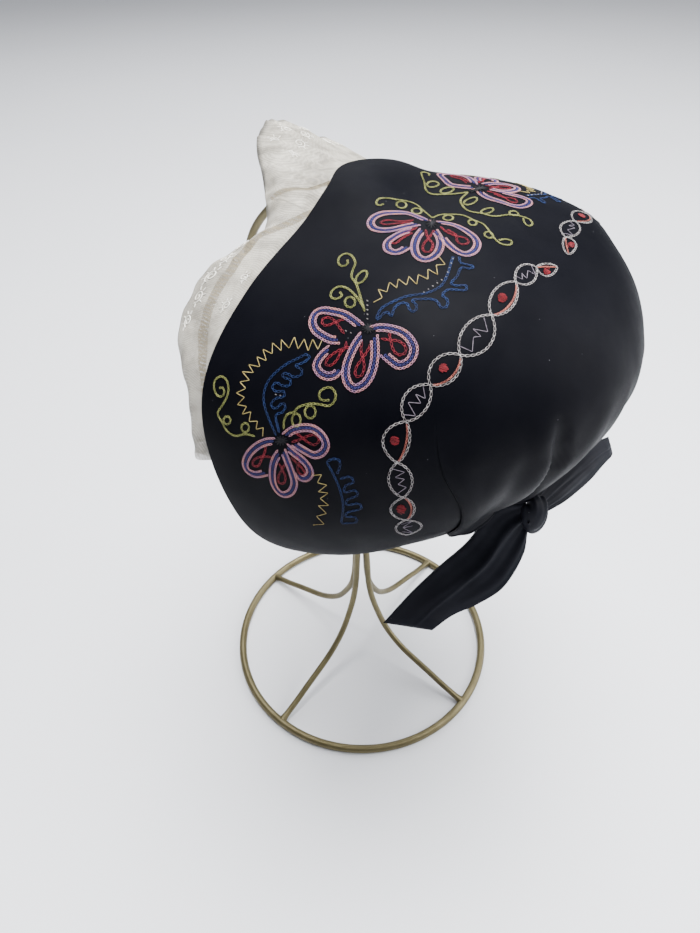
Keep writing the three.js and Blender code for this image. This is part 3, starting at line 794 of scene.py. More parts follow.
SIDE_FLOWER = {
    "petals": [
        [(364.3, 325.5), (356.9, 319.2), (346.4, 312.3), (334.8, 309.2), (322.2, 308.1), (313.8, 312.3),
         (309.6, 322.3), (312.7, 331.8), (321.2, 338.6), (330.6, 342.9), (339.6, 343.4)],
        [(329.6, 345.5), (321.7, 351.8), (315.4, 360.2), (313.8, 367.6), (319, 376), (328.5, 379.7),
         (336.9, 377.1), (343.2, 369.7)],
        [(361.1, 332.3), (354.8, 340.2), (348.5, 351.8), (343.8, 364.4), (342.7, 376), (346.4, 386.5),
         (354.8, 391.8), (365.3, 387.6), (372.7, 378.1), (376.9, 365.5), (378.5, 350.8), (377.4, 335)],
        [(369.6, 327.6), (378, 325), (391.7, 326), (404.3, 330.2), (413.8, 339.2), (417.4, 348.6),
         (414.8, 359.2), (407.4, 366.5), (398, 368.6), (389.5, 363.4), (380.5, 355.5)],
    ],
    "hearts": [
        [(344.5, 334), (339.5, 327.5), (334.8, 321), (328.5, 317.6), (322.5, 319.5), (323.5, 325),
         (329, 325.3), (336, 322), (344.3, 319.2)],
        [(346.4, 341.3), (345.4, 347.6), (340.1, 353.9), (336.9, 360.2), (330.6, 365.5), (325.9, 364.4),
         (327.5, 359.2), (334.8, 352.9), (343.2, 348.7), (349.6, 347.6)],
        [(362.2, 341.3), (361.1, 350.8), (363.2, 359.2), (364.3, 367.6), (361.1, 376), (355.9, 376),
         (355.9, 368.6), (361.1, 360.2), (366.4, 352.9), (370.6, 344.4)],
        [(381.1, 338.7), (389.5, 340.2), (399, 341.3), (405.3, 346.5), (405.3, 352.9), (399, 355),
         (393.8, 350.8), (391.1, 342.3), (389.5, 333.9)],
    ],
    "centre": (368.5, 328.7),
}
TOP_FLOWER = {
    "petals": [
        [(430.8, 221.6), (420.2, 216.8), (407.6, 212.6), (393.9, 211.6), (380.3, 212.6), (370.8, 217.4),
         (367.6, 223.7), (370.8, 229.5), (379.2, 232.1), (391.8, 231.6), (405.5, 228.4), (420.2, 225.3)],
        [(412, 228.5), (402.4, 231), (391.8, 236.3), (384.5, 242.6), (384.5, 250), (391.8, 254.2),
         (400.2, 253.7), (410.8, 247.9)],
        [(420.2, 228.9), (413.9, 237.4), (411.3, 246.8), (413.9, 256.3), (422.3, 261.6), (431.8, 260.5),
         (440.2, 254.2), (443.4, 245.8), (442.3, 238.4), (437.1, 230)],
        [(435, 221.6), (445.5, 222.6), (457.1, 225.3), (468.6, 231), (477.6, 238.4), (480.2, 245.8),
         (476, 253.1), (466.5, 256.3), (456, 253.1), (446.5, 245.8), (438.1, 236.3)],
    ],
    "hearts": [
        [(413.9, 220.5), (400.2, 221.6), (386.6, 220.5), (380.3, 222.6), (384.5, 224.7), (397.1, 223.7),
         (411.8, 222.6)],
        [(417.1, 227.9), (407.6, 232.1), (397.1, 237.4), (390.8, 242.6), (395, 243.7), (402.4, 238.4),
         (411.8, 233.1)],
        [(425.5, 230), (427.6, 237.4), (432.9, 244.7), (429.7, 252.1), (423.4, 251), (423.4, 244.7),
         (428.7, 238.4), (433.9, 231)],
        [(440.2, 226.8), (446.5, 232.1), (456, 236.3), (465.5, 238.4), (468.6, 242.6), (462.3, 244.7),
         (457.1, 241.6), (456, 235.3), (447.6, 230)],
    ],
    "centre": (431.8, 223.7),
}
TENDRILS = [
    [(255.4, 436.2), (245.5, 434), (235.4, 435.8), (227, 430.5), (222.5, 422.5), (218, 413), (222.5, 405.5),
     (227.5, 396), (228.7, 387), (226, 379.1), (221.1, 376.4), (215.7, 380), (214.4, 388), (217.5, 395.2),
     (222, 396.5), (224.6, 392.5), (222.9, 387.5), (219.7, 388)],
    [(284, 429.1), (284.5, 420.2), (288, 413.9), (294.3, 412), (297.9, 407.7), (305, 404.8), (312.1, 403.7),
     (321.1, 404.6), (329.1, 405.9), (334.5, 401.4), (335.8, 394.3), (331.8, 388), (325.5, 388),
     (319.7, 392.5), (320.2, 398.8), (324.6, 400.5), (329.1, 400.1)],
    [(364.8, 311.8), (360.1, 296), (355.9, 283.4), (351.7, 277.1), (352.7, 270.8), (355.4, 263.4),
     (351.7, 256), (345.4, 253.9), (339, 258.2), (339, 264.5), (343.2, 266.6), (348, 263.4), (347.5, 260.3)],
    [(364.3, 308.7), (359, 300.2), (353.8, 293.9), (346.4, 288.1), (338, 287.1), (331.7, 291.8),
     (331.1, 297.1), (335.9, 299.2), (342.2, 296), (340.1, 292.4)],
    [(432.3, 218.4), (423.4, 211), (416, 204.7), (407.6, 201.6), (397.1, 200), (385.5, 198.4),
     (378.2, 199.5), (376, 203.7), (379.2, 205.8), (383.4, 204.2)],
    [(432.3, 218.4), (439.2, 215.3), (451.8, 214.7), (463.4, 215.8), (473.9, 220.5), (483.4, 224.7),
     (489.7, 232.1), (496, 240.5), (502.3, 244.7), (510.7, 244.7), (511.8, 241.6), (504.4, 239.5),
     (499.2, 240.5)],
]
TENDRIL_LOOPS = table(
    "x y wide tall lean",
    (245.5, 427.5, 3.8, 4.6, 0), (227.3, 420.3, 3.6, 4, 0), (296.5, 420, 4.4, 6.4, 0),
    (310.4, 412, 5.4, 6.4, 0), (361.5, 277.3, 4, 7.6, 0.7), (350.1, 302.4, 5.2, 5.2, 0),
    (401.3, 205.1, 5, 3.4, 0.1), (416.6, 211.4, 5, 2.8, 0.1), (448.1, 218.2, 5, 2.6, 0),
    (472.3, 223, 4.2, 2.6, 0.2), (488.6, 235.2, 4.4, 3, 0.3),
)
ZIGZAGS = [
    {"line": [(322.9, 344.3), (307.7, 344.3), (289.8, 343.4), (276.4, 347), (263, 355.9), (254.1, 365.7),
              (246.1, 376.4), (242.5, 385.4), (240.7, 394.3), (241.6, 403.2), (245.2, 411.3), (251.4, 419.3),
              (258.6, 427.3), (264.8, 434.5)], "teeth": 16, "reach": (6.2, 3.2)},
    {"line": [(316.1, 473), (321.5, 481.7), (323.6, 489.2), (324.7, 499), (322.6, 508.8), (320.4, 518.5),
              (318.2, 526.1)], "teeth": 6, "reach": (4, 5.5)},
    {"line": [(443.4, 257.3), (439.2, 267.9), (428.7, 274.2), (418.1, 279.4), (407.6, 281.6), (397.1, 283.7),
              (385.5, 287.9), (378.2, 295.2), (377.6, 302.6)], "teeth": 8, "reach": (4.6, 4)},
]
BRANCHES = [
    [(276.4, 435.4), (269.3, 419.3), (264.8, 405.9), (263.9, 396), (267.5, 382.7), (275.5, 372.9),
     (287.1, 363.9), (297.9, 358.6), (306.8, 354.6), (309.9, 357.7), (305.9, 360.8)],
    [(279.6, 432.7), (278.2, 426.4), (276, 418.4)],
    [(326.6, 461.6), (332.9, 458.9), (339.1, 459.8), (340, 466.1), (337.3, 473.2)],
    [(326.9, 462.1), (333.4, 474.1), (339.9, 489.2), (343.2, 505.5), (341.5, 521.8)],
    [(376, 319.4), (381.3, 308.9), (393.9, 301.5), (407.6, 296.3), (422.3, 294.2), (432.9, 291),
     (442.3, 284.7), (447.6, 274.2), (450.8, 263.7), (452.9, 257.3)],
    [(377.1, 320.5), (386.6, 312.1), (391.8, 316.3), (393.9, 308.9), (400.2, 303.6), (406.6, 303.6),
     (410.8, 311), (415.5, 311), (416, 304.7), (411.8, 300.5), (420.2, 299.4), (431.8, 299.4), (437.1, 301.5),
     (441.3, 307.9), (446.5, 306.8), (447.6, 300.5), (442.3, 295.2), (447.6, 290), (456, 290), (466, 290),
     (466, 285.8), (456, 285.8), (450.8, 283.7), (457.1, 276.3), (461.3, 267.9), (469.7, 268.9),
     (473.9, 266.8), (466.5, 264.7), (460.2, 262.6), (459.2, 257.3)],
    [(340, 478.6), (350.7, 476.8), (353.4, 482.1), (345.4, 485.7), (344.5, 492), (355.2, 490.2),
     (357.9, 494.6), (347.1, 500), (346.3, 504.5), (359.6, 503.6), (361.4, 508), (347.1, 512.5),
     (345.4, 516.1), (355.2, 517), (357, 521.4), (341.8, 523.2)],
]
SQUIGGLE = table(
    "x y",
    (309, 359.5), (301.4, 363.5), (295.2, 365.7), (302.3, 370.2), (301, 375.1), (293.4, 376.9), (288, 373.8),
    (282.7, 373.8), (283.6, 377.3), (290.7, 380), (289.8, 385.4), (282.7, 385.8), (276.4, 382.7),
    (272.4, 387.1), (275.5, 391.2), (284.5, 391.6), (284.5, 396.1), (275.5, 398.8), (271.1, 405),
    (275.5, 408.6), (282.7, 403.2), (285.8, 405.9), (282.7, 412.1), (276.4, 414.8), (276.9, 423.8),
    (279.1, 431.8),
)
SEED_ROWS = table(
    "x y to_x to_y count",
    (367.5, 301, 367.5, 319, 5), (424, 292.5, 446, 277, 6), (446, 277, 453, 259, 5),
    (276, 394.5, 280.5, 395.5, 2), (346, 331, 351, 333, 2),
)
BORDER = table(
    "x y ahead behind dotted",
    (557.2, 267.5, 9, 3.5, 1), (536.2, 267.5, 10, 10, 0), (515.3, 282, 12, 12, 1),
    (491.3, 315.4, 13.5, 17, 0), (460.2, 355.2, 14, 12.5, 1), (429.9, 384.8, 15, 10, 0),
    (405.7, 421.3, 18.5, 8, 1), (396.9, 462.6, 11.5, 12, 0), (403.4, 497.4, 14, 10, 1),
    (405.7, 519.9, 11, 15, 0), (407.5, 534.6, 0, 0, 0),
)
ROW_GAP = 0.95
ROW_SHORTER = 2


def wool(colour, dark, lengths):
    """Twisted embroidery thread of one colour, with darker and lighter lengths."""
    def made(tree, surface):
        where = place(tree, "ShaderNodeTexCoord").outputs["Object"]
        twist = place_group(tree, WEAVE, Vector=where, Scale=1500.0)
        bump = place(tree, "ShaderNodeBump", Strength=0.5, Distance=0.0001, Height=twist.outputs["Height"])
        feed(tree, surface, Base_Color=in_patches(tree, where, lengths, dark, colour), Roughness=0.65,
             Specular_IOR_Level=0.25, Normal=bump.outputs["Normal"])
    return made


def srgb(*values):
    """Colour values as seen, 0 to 255, turned into light values."""
    return tuple(((v / 255 + 0.055) / 1.055) ** 2.4 if v > 10 else v / 255 / 12.92 for v in values)


THREADS = {
    "pink": (srgb(212, 146, 134), srgb(136, 110, 154), 520.0),
    "blue": (srgb(58, 58, 124), srgb(26, 28, 78), 700.0),
    "red": (srgb(156, 38, 54), srgb(80, 16, 30), 700.0),
    "crimson": (srgb(132, 18, 32), srgb(62, 6, 14), 900.0),
    "olive": (srgb(156, 158, 92), srgb(88, 92, 46), 520.0),
    "yellow": (srgb(200, 184, 120), srgb(132, 114, 62), 620.0),
    "royal": (srgb(34, 60, 112), srgb(14, 28, 62), 420.0),
    "white": (srgb(182, 178, 178), srgb(104, 98, 98), 700.0),
    "lilac": (srgb(150, 142, 152), srgb(90, 82, 96), 520.0),
    "salmon": (srgb(180, 104, 90), srgb(104, 52, 48), 520.0),
    "black": (srgb(10, 11, 20), srgb(4, 4, 9), 400.0),
}
SMALL_LINKS = {"wide": 0.74, "pitch": 1.25, "thread": 0.1}
LONG_LINKS = {"wide": 0.86, "pitch": 1.5, "thread": 0.085}
BORDER_LINKS = {"wide": 0.86, "pitch": 1.6, "thread": 0.09}
DOT_ROWS = 9
DOT_LEAN = 0.35
DOT_UNEVEN = 0.35
DOT_POINTS = 5
STAR_SPOKES = 11
STAR_REACH = np.array([6, 4.8])
SEED = np.array([[-0.6, -0.3], [0.6, 0.3]])
LENS_END = 0.12
LENS_STEPS = 25
OUTLINE_INSIDE = 3.2
DOT_MOST = 4.6
DOT_LEAST = 1.2
DOT_SHARE = 0.36
DOT_HIGH = 0.95
DOT_ASIDE = 1.5
ZIGZAG_SHARE = 0.42
sewn = {name: [] for name in THREADS}


def sew(colour, line, stitch=chain_stitch, **sizes):
    """Works one line in one colour on the wearer's left side, and the same on the right side."""
    for each in (line, mirrored(line)):
        sewn[colour].append(stitch(each, **sizes))


def satin_dot(middle, wide, tall):
    """A dot of parallel stitches, lying side by side."""
    c, s = math.cos(DOT_LEAN), math.sin(DOT_LEAN)
    for i in range(DOT_ROWS):
        y = (i + 0.5) / DOT_ROWS * 2 - 1
        x = math.sqrt(1 - y * y)
        ends = np.array([(-x * wide, y * tall), (x * wide, y * tall)])
        ends = ends @ np.array([[c, s], [-s, c]]) + middle
        ends = ends + chance.normal(0, DOT_UNEVEN, ends.shape)
        sew("crimson", sewn_line(np.linspace(ends[0], ends[1], DOT_POINTS)), laid_thread, thread=0.16)


for flower in (EAR_FLOWER, SIDE_FLOWER, TOP_FLOWER):
    for petal in flower["petals"]:
        outer = sewn_line(curve_through(petal, step=1.0))
        middle = on_satin(seen_on_bonnet([np.mean(petal, axis=0)]))[0]
        trial = inset(outer, 1.0)
        inward = 1 if (np.linalg.norm(trial - middle, axis=1).mean()
                       < np.linalg.norm(outer - middle, axis=1).mean()) else -1
        for row, thread in enumerate(("pink", "blue", "pink")):
            trimmed = outer[row * ROW_SHORTER: len(outer) - row * ROW_SHORTER]
            sew(thread, inset(trimmed, inward * ROW_GAP * row))
    for heart in flower["hearts"]:
        sew("red", sewn_line(curve_through(heart, step=1.0)), **LONG_LINKS)
    for turn in np.arange(STAR_SPOKES) * 2 * math.pi / STAR_SPOKES:
        tip = np.array(flower["centre"]) + STAR_REACH * np.array([math.cos(turn), math.sin(turn)])
        sew("black", sewn_line(np.linspace(flower["centre"], tip, 4)), laid_thread, thread=0.2)
for tendril in TENDRILS:
    sew("olive", sewn_line(curve_through(tendril, step=1.0)), **SMALL_LINKS)
for x, y, wide, tall, lean in zip(*TENDRIL_LOOPS.values()):
    sew("olive", sewn_line(small_loop((x, y), wide, tall, lean)), **SMALL_LINKS)
for zigzag in ZIGZAGS:
    sew("yellow", sewn_line(fringed(zigzag["line"], zigzag["teeth"], zigzag["reach"])), laid_thread)
for branch in BRANCHES:
    sew("royal", sewn_line(curve_through(branch, step=1.0)), **LONG_LINKS)
squiggle = curve_through(np.column_stack([SQUIGGLE["x"], SQUIGGLE["y"]]), step=1.0)
sew("royal", sewn_line(squiggle), **dict(LONG_LINKS, wide=0.84))
for x, y, to_x, to_y, count in zip(*SEED_ROWS.values()):
    for part in np.linspace(0, 1, int(count)):
        spot = np.array([x + (to_x - x) * part, y + (to_y - y) * part])
        sew("white", sewn_line(spot + SEED, step=0.2), laid_thread, thread=0.13)

border_ends = np.column_stack([BORDER["x"], BORDER["y"]])
for i in range(len(border_ends) - 1):
    here, there = border_ends[i], border_ends[i + 1]
    ahead, behind = BORDER["ahead"][i], BORDER["behind"][i]
    chord = there - here
    away = unit(np.array([chord[1], -chord[0]]))
    if away[0] > 0:
        away = -away
    s = np.linspace(0, 1, LENS_STEPS)
    slide = 0.5 * s + 0.5 * (1 - np.cos(math.pi * s)) / 2
    swell = np.sin(math.pi * s)[:, None] * away
    for reach in (ahead, -behind):
        strand = here + chord * slide[:, None] + swell * reach
        sew("white", sewn_line(strand), **BORDER_LINKS)
    middle = (here + there) / 2 + away * (ahead - behind) / 2
    half = (ahead + behind) / 2
    if BORDER["dotted"][i]:
        strand = here + chord * slide[:, None] - swell * (behind - OUTLINE_INSIDE)
        sew("salmon", sewn_line(strand[2:-2]), wide=0.6, thread=0.11)
        size = min(DOT_MOST, DOT_SHARE * half + DOT_LEAST)
        satin_dot(middle + away * DOT_ASIDE, size, size * DOT_HIGH)
    else:
        width = ZIGZAG_SHARE * half
        ends = [here + chord * LENS_END, middle, there - chord * LENS_END]
        sew("lilac", sewn_line(fringed(ends, 3, (width, width), uneven=0.3)), laid_thread, thread=0.09)
for name, parts in sewn.items():
    look = shader("thread_" + name, wool(*THREADS[name]))
    make_piece("stitches_" + name, *join(parts), look, "black_satin")


# The net front piece. A gathered strip of ivory net, folded over and sewn inside the front edge,
# so that a double brim of it stands forward of the satin; woven motifs and a darned edge run along it.
NET_TUCK = 7
NET_INSET = 3.2
NET_ROWS = table(
    "round forward inward",
    (-99, 8, 1), (-90, 14, 1), (-80, 26, 0), (-68, 38, -4), (-57, 46, -10), (-50, 50, -9.5), (-43, 53, -8.5),
    (-36, 56, -10), (-25, 58, -10.5), (-12, 50, -7), (0, 39, -4), (10, 32, -1), (20, 27, 2), (30, 21, 3),
    (38, 18, 4), (46, 20, 3), (53, 23, 2), (60, 23.5, 2), (67, 22, 2), (74, 16, 2), (81, 10.5, 2),
    (88, 10, 1.5), (94, 13, 1),
)
NET_BAND = table(
    "round middle wide",
    (-99, 0.6, 0.3), (8, 0.06, 0.3), (12, 0.08, 3.4), (17, 0.27, 4), (19, 0.48, 4), (22, 0.67, 4),
    (25, 0.84, 3.4), (26.6, 0.86, 0.3), (28.4, 0.12, 0.3), (30, 0.15, 3.8), (33, 0.26, 4.4), (37, 0.5, 4.4),
    (43, 0.74, 3.8), (50.5, 0.62, 3.4), (55.5, 0.54, 3.3), (60.5, 0.53, 3.3), (65, 0.5, 3.3), (69, 0.44, 3.3),
    (72, 0.36, 3.3), (80, 0.14, 2.4), (86, 0.1, 0.3), (94, 0.1, 0.3),
)
BAND_LEAST = 0.8
NET_COLUMNS = 260
NET_EDGE_FROM = 0.9
NET_ONWARD = 0.25
TUCK_PARTS = (-1.0, -0.66, -0.33)
LOW_ROWS = 11
BAND_ROWS = 8
BAND_STARTS = (0.02, 0.93)
BAND_ENDS = (0.05, 0.97)
HIGH_ROWS = 12
BACK_ROWS = 24
BACK_TO = 0.1
BACK_SWELL = 1.1
BAND_FROM = len(TUCK_PARTS) + LOW_ROWS - 1
BAND_TO = BAND_FROM + BAND_ROWS
GATHERS = table(
    "high close slant shift fade",
    (0.45, 0.42, 3, 0, 0), (0.3, 1.05, -5, 1, 0), (0.07, 2.3, 7, 0, 1),
)
NET_SWELL = table("high middle wide", (1.2, 0.75, 0.3), (-0.8, 0.3, 0.2))
NET_BODY = 0.9
NET_ROUND = 0.8
BACK_ROUND = 0.6


def net_point(around, forward_part, inset_by, bulge):
    """A point of the net: along the front edge, from the tuck (-1) past the edge (0) to its fold (1)."""
    rim = bonnet_point(around, 1.0, -inset_by)
    onward = unit(rim - bonnet_point(around, NET_EDGE_FROM, -inset_by))
    inward = seated_middle - rim
    inward[:, 1] = 0
    inward = unit(inward)
    reach = along(NET_ROWS, "round", "forward", around)
    dip = along(NET_ROWS, "round", "inward", around)
    part = np.clip(forward_part, 0, 1)
    lead = unit(onward * NET_ONWARD + np.array([0, -1, 0]) * (1 - NET_ONWARD))
    length = np.where(forward_part < 0, forward_part * NET_TUCK, part * reach)
    return rim + lead * length[:, None] + inward * (part * part * dip - bulge)[:, None]


seated_x, seated_z = CROWN_MIDDLE[0] + SEAT_SHIFT, CROWN_MIDDLE[2] - SEAT_HEIGHT
seated_middle = np.array([
    math.cos(SEAT_ROLL) * seated_x - math.sin(SEAT_ROLL) * seated_z,
    CROWN_MIDDLE[1],
    math.sin(SEAT_ROLL) * seated_x + math.cos(SEAT_ROLL) * seated_z + SEAT_HEIGHT,
])


def net_levels(around):
    """Rows of the net for each column, placed so that both edges of the open band fall on a row."""
    reach = along(NET_ROWS, "round", "forward", around)
    middle = np.interp(around, NET_BAND["round"], NET_BAND["middle"])
    half = np.interp(around, NET_BAND["round"], NET_BAND["wide"]) / 2 / reach
    low, high = np.clip(middle - half, *BAND_STARTS), np.clip(middle + half, *BAND_ENDS)
    rows = [np.full(len(around), v) for v in TUCK_PARTS]
    rows += [low * t for t in np.linspace(0, 1, LOW_ROWS)]
    rows += [low + (high - low) * t for t in np.linspace(0, 1, BAND_ROWS + 1)[1:]]
    rows += [high + (1 - high) * t for t in np.linspace(0, 1, HIGH_ROWS + 1)[1:]]
    return rows


def net_folds(around, v):
    """Soft gathers that run out from the seam, and smaller slanting creases."""
    return sum(high * np.sin(around * close + slant * v + shift) * (1 - fade * v)
               for high, close, slant, shift, fade in zip(*GATHERS.values()))


def net_swell(inside):
    """How far the net stands out between its seam at 0 and its fold at 1."""
    rounds = [high * hump(inside, middle, wide) for high, middle, wide in zip(*NET_SWELL.values())]
    return NET_BODY * np.sin(math.pi * inside) ** NET_ROUND + rounds[0] + rounds[1]


def net_brim():
    """Both layers of the folded net as one sheet: up from the tuck, over the fold and back."""
    around = np.linspace(NET_ROWS["round"][0], NET_ROWS["round"][-1], NET_COLUMNS + 1)
    points = []
    for v in net_levels(around):
        inside = np.clip(v, 0, 1)
        lift = net_swell(inside) + net_folds(around, v) * inside
        points.append(net_point(around, v, NET_INSET, lift))
    for v in np.linspace(1, BACK_TO, BACK_ROWS + 1)[1:]:
        lift = -BACK_SWELL * math.sin(math.pi * v) ** BACK_ROUND + net_folds(around, v) * v
        points.append(net_point(around, np.full(len(around), v), NET_INSET, lift))
    return np.vstack(points), len(points) - 1


def wire_net(tree, given, result):
    """Round holes between the net's threads: 1 on thread and 0 in a hole, in rows set half a step off."""
    cells = place(tree, "ShaderNodeTexVoronoi", {"feature": "F1"}, Vector=given["Vector"],
                  Scale=given["Scale"], Randomness=0.12)
    hole = place(tree, "ShaderNodeMapRange", Value=cells.outputs["Distance"], From_Min=given["Hole"],
                 From_Max=given["Thread"])
    supply(tree, result["Thread"], hole.outputs["Result"])


NET_HOLES = node_group(
    "net_holes",
    [("Vector", "NodeSocketVector", None), ("Scale", "NodeSocketFloat", 1400.0),
     ("Hole", "NodeSocketFloat", 0.3), ("Thread", "NodeSocketFloat", 0.5)],
    [("Thread", "NodeSocketFloat")],
    wire_net,
)


NET_PATCHINESS = 0.22


def net_cloth(light, dark, solid, scale, hole):
    """Fine cloth or open net of one tone; solid is the least share of it that hides what lies behind."""
    def made(tree, surface):
        where = place(tree, "ShaderNodeTexCoord").outputs["Object"]
        net = place_group(tree, NET_HOLES, Vector=where, Scale=scale, Hole=hole, Thread=0.5)
        patches = place_group(tree, MOTTLE, Vector=where, Scale=130.0, Low=solid, High=solid + NET_PATCHINESS)
        weave = place_group(tree, WEAVE, Vector=where, Scale=700.0)
        bump = place(tree, "ShaderNodeBump", Strength=0.5, Distance=0.0002, Height=weave.outputs["Height"])
        colour = in_patches(tree, where, scale=95.0, dark=dark, light=light)
        feed(tree, surface, Base_Color=colour, Roughness=0.75,
             Alpha=reckon(tree, "MAXIMUM", net.outputs["Thread"], patches.outputs["Value"]),
             Normal=bump.outputs["Normal"])
    return made


MUSLIN = shader("ivory_muslin", net_cloth(srgb(194, 189, 176), srgb(118, 113, 102), 0.46, 2600.0, 0.3))
# The open band's dark tan colour is painted shade: it stands for the shaded inner layer of net seen through
# the open mesh.
OPEN_NET_PAINTED_SHADE = shader("open_net_painted_shade", net_cloth(srgb(140, 130, 108), srgb(106, 97, 78), 0.1, 1250.0, 0.36))
net_points, net_rows = net_brim()
net = make_piece("net_brim", net_points, grid_faces(NET_COLUMNS, net_rows), MUSLIN, "white_net")
net.data.materials.append(OPEN_NET_PAINTED_SHADE)
# Faces in the open band take the open net, whose dark tan colour is painted shade.
column_round = np.linspace(NET_ROWS["round"][0], NET_ROWS["round"][-1], NET_COLUMNS + 1)
column_band = np.interp(column_round, NET_BAND["round"], NET_BAND["wide"]) > BAND_LEAST
for face in net.data.polygons:
    row, column = divmod(min(face.vertices), NET_COLUMNS + 1)
    face.material_index = 1 if BAND_FROM <= row < BAND_TO and column_band[column] else 0
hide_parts("front_lace")

WORKED_SCROLLS = table(
    "round part size turn",
    (-46, 0.8, 2.2, 1), (-38, 0.72, 2.6, -1), (-31, 0.8, 2.2, 1), (-25, 0.7, 2.8, -1), (-19, 0.8, 3.0, 1),
    (-13, 0.62, 2.8, -1), (-9, 0.82, 2.6, 1), (-3, 0.6, 2.2, -1), (47, 0.86, 1.6, 1), (52, 0.82, 1.9, -1),
    (57, 0.76, 2.1, 1), (62, 0.78, 1.9, -1), (67, 0.78, 1.6, 1), (56, 0.3, 1.4, -1), (63, 0.27, 1.4, 1),
)
SCROLL_TURNS = 1.6
SCROLL_STEPS = 40
SCROLL_CLOSES = 0.82
SCROLL_LEAVES = 5
LEAF_SPREAD = 1.2
LEAF_FROM, LEAF_TO = 1.05, 1.6
LEAF_STEPS = 6
SCROLL_WITHIN = (0.05, 0.97)
MM_PER_DEGREE = 1.25
DARNED_ABOVE = 0.12
DARNED_THREAD = 0.2
DARNED_STEP = 0.3
DARNED_SIDES = 5


def on_net(around, part, above):
    lift = net_swell(part) + net_folds(around, part) * part
    return net_point(around, part, NET_INSET, lift + above)


def worked_scroll(around, part, size, turn):
    """A little scroll with leaves, darned on the net in white thread."""
    reach = float(along(NET_ROWS, "round", "forward", around))
    s = np.linspace(0, 1, SCROLL_STEPS)
    strokes = [(size * (1 - SCROLL_CLOSES * s), turn * 2 * math.pi * SCROLL_TURNS * s)]
    for leaf in range(SCROLL_LEAVES):
        lean = turn * (leaf + 0.5) / SCROLL_LEAVES * math.pi * LEAF_SPREAD
        strokes.append((np.linspace(size * LEAF_FROM, size * LEAF_TO, LEAF_STEPS), lean))
    made = []
    for far, angle in strokes:
        along_round = around + far * np.cos(angle) / MM_PER_DEGREE
        along_part = np.clip(part + far * np.sin(angle) / reach, *SCROLL_WITHIN)
        spots = on_net(along_round, along_part, DARNED_ABOVE)
        made.append(tube(evenly(spots, DARNED_STEP), DARNED_THREAD, DARNED_SIDES))
    return made


scrolls = [piece for row in zip(*WORKED_SCROLLS.values()) for piece in worked_scroll(*row)]
WHITEWORK = shader("white_darning", wool(srgb(250, 248, 240), srgb(226, 222, 212), 300.0))
make_piece("net_scrolls", *join(scrolls), WHITEWORK, "white_net")


# The bow. A doubled strip of the same satin, tied at the nape: a wrapped knot, one loop that hangs
# down on the wearer's left and one that stands out on the right. Both have soft lengthwise folds.
BOW_CLOTH = 0.5
BOW_TURN = 0.08
LOOP_LEFT = table(
    "ax ay az bx by bz gap",
    (22.2, 87.8, 187.6, 23.6, 91.2, 175.2, 0.6), (29.0, 78.8, 184.6, 27.0, 92.0, 166.4, 1.8),
    (39.7, 72.8, 171.3, 37.8, 89.1, 154.0, 2.6), (50.8, 67.2, 165.2, 48.3, 82.4, 149.7, 3),
    (63.6, 62.2, 160.1, 57.7, 77.2, 149.3, 2.4), (78.7, 57.9, 154.6, 68.8, 74.3, 149.7, 1.2),
)
LOOP_RIGHT = table(
    "ax ay az bx by bz gap",
    (20.2, 90.6, 186.4, 20.8, 92.6, 180.6, 0.6), (5.3, 91.9, 185.9, 6.6, 97.3, 177.8, 1.8),
    (-4.6, 93.0, 184.0, -4.3, 99.5, 175.4, 2.2), (-18.5, 95.0, 182.3, -17.9, 101.9, 173.2, 2.2),
    (-32.2, 98.2, 181.1, -31.4, 103.9, 172.6, 1.8), (-42.7, 102.5, 179.4, -41.4, 106.1, 172.5, 1.2),
)
KNOT_SHOWN = np.array([21.4, 92.0, 182.0])
KNOT_SHOWN_HALF = np.array([5.4, 5.2, 9.4])
KNOT_AROUND = 48
KNOT_ROWS = 28
KNOT_FILL = 0.985
KNOT_BLUNT = 0.75
KNOT_SLANT = 0.9
KNOT_CREASE = 0.13
KNOT_CREASES = 2.5
KNOT_SHARP = 3
KNOT_RIPPLE = 0.05
KNOT_RIPPLES = 7
KNOT_RIPPLE_LEAN = 2
KNOT_END_CREASE = 0.2
LOOP_STEPS = 150
LOOP_ROWS = 30
LOOP_OPENS = 0.5
LOOP_LEAST = 0.04
FOLD_WAVES = table("high often shift slant", (1, 15, 0.6, 1.5), (0.5, 31, 0, 2))
FOLDS_LAST = 1.15
FOLDS_START = 0.1
RIDGE_HIGH = 0.8
RIDGE_AT = 0.32
RIDGE_SLANT = 0.3
RIDGE_WIDE = 0.06
RIDGE_STARTS = 3


def bow_knot():
    """The wrapped middle: a turn of cloth with slanting creases."""
    turn = np.linspace(0, 2 * math.pi, KNOT_AROUND, endpoint=False)
    points = []
    for j in range(KNOT_ROWS + 1):
        lift = math.pi * (j / KNOT_ROWS - 0.5) * KNOT_FILL
        slant = turn + KNOT_SLANT * math.sin(lift)
        crease = (1 - KNOT_CREASE * np.abs(np.cos(KNOT_CREASES * slant)) ** KNOT_SHARP
                  - KNOT_RIPPLE * np.cos(KNOT_RIPPLES * slant + KNOT_RIPPLE_LEAN * lift))
        full = math.cos(lift)
        round_out = full ** KNOT_BLUNT * (1 + (crease - 1) * max(full, KNOT_END_CREASE))
        points.append(KNOT_SHOWN + KNOT_SHOWN_HALF * np.column_stack([
            np.full(len(turn), math.sin(lift)), round_out * np.cos(turn), round_out * np.sin(turn)]))
    faces = grid_faces(KNOT_AROUND, KNOT_ROWS, wraps=True)
    last = KNOT_AROUND - 1
    strips = np.array([(i, i + 1, last - 1 - i, last - i) for i in range(KNOT_AROUND // 2 - 1)])
    return np.vstack(points), np.vstack([faces, strips, strips[:, ::-1] + KNOT_ROWS * KNOT_AROUND])


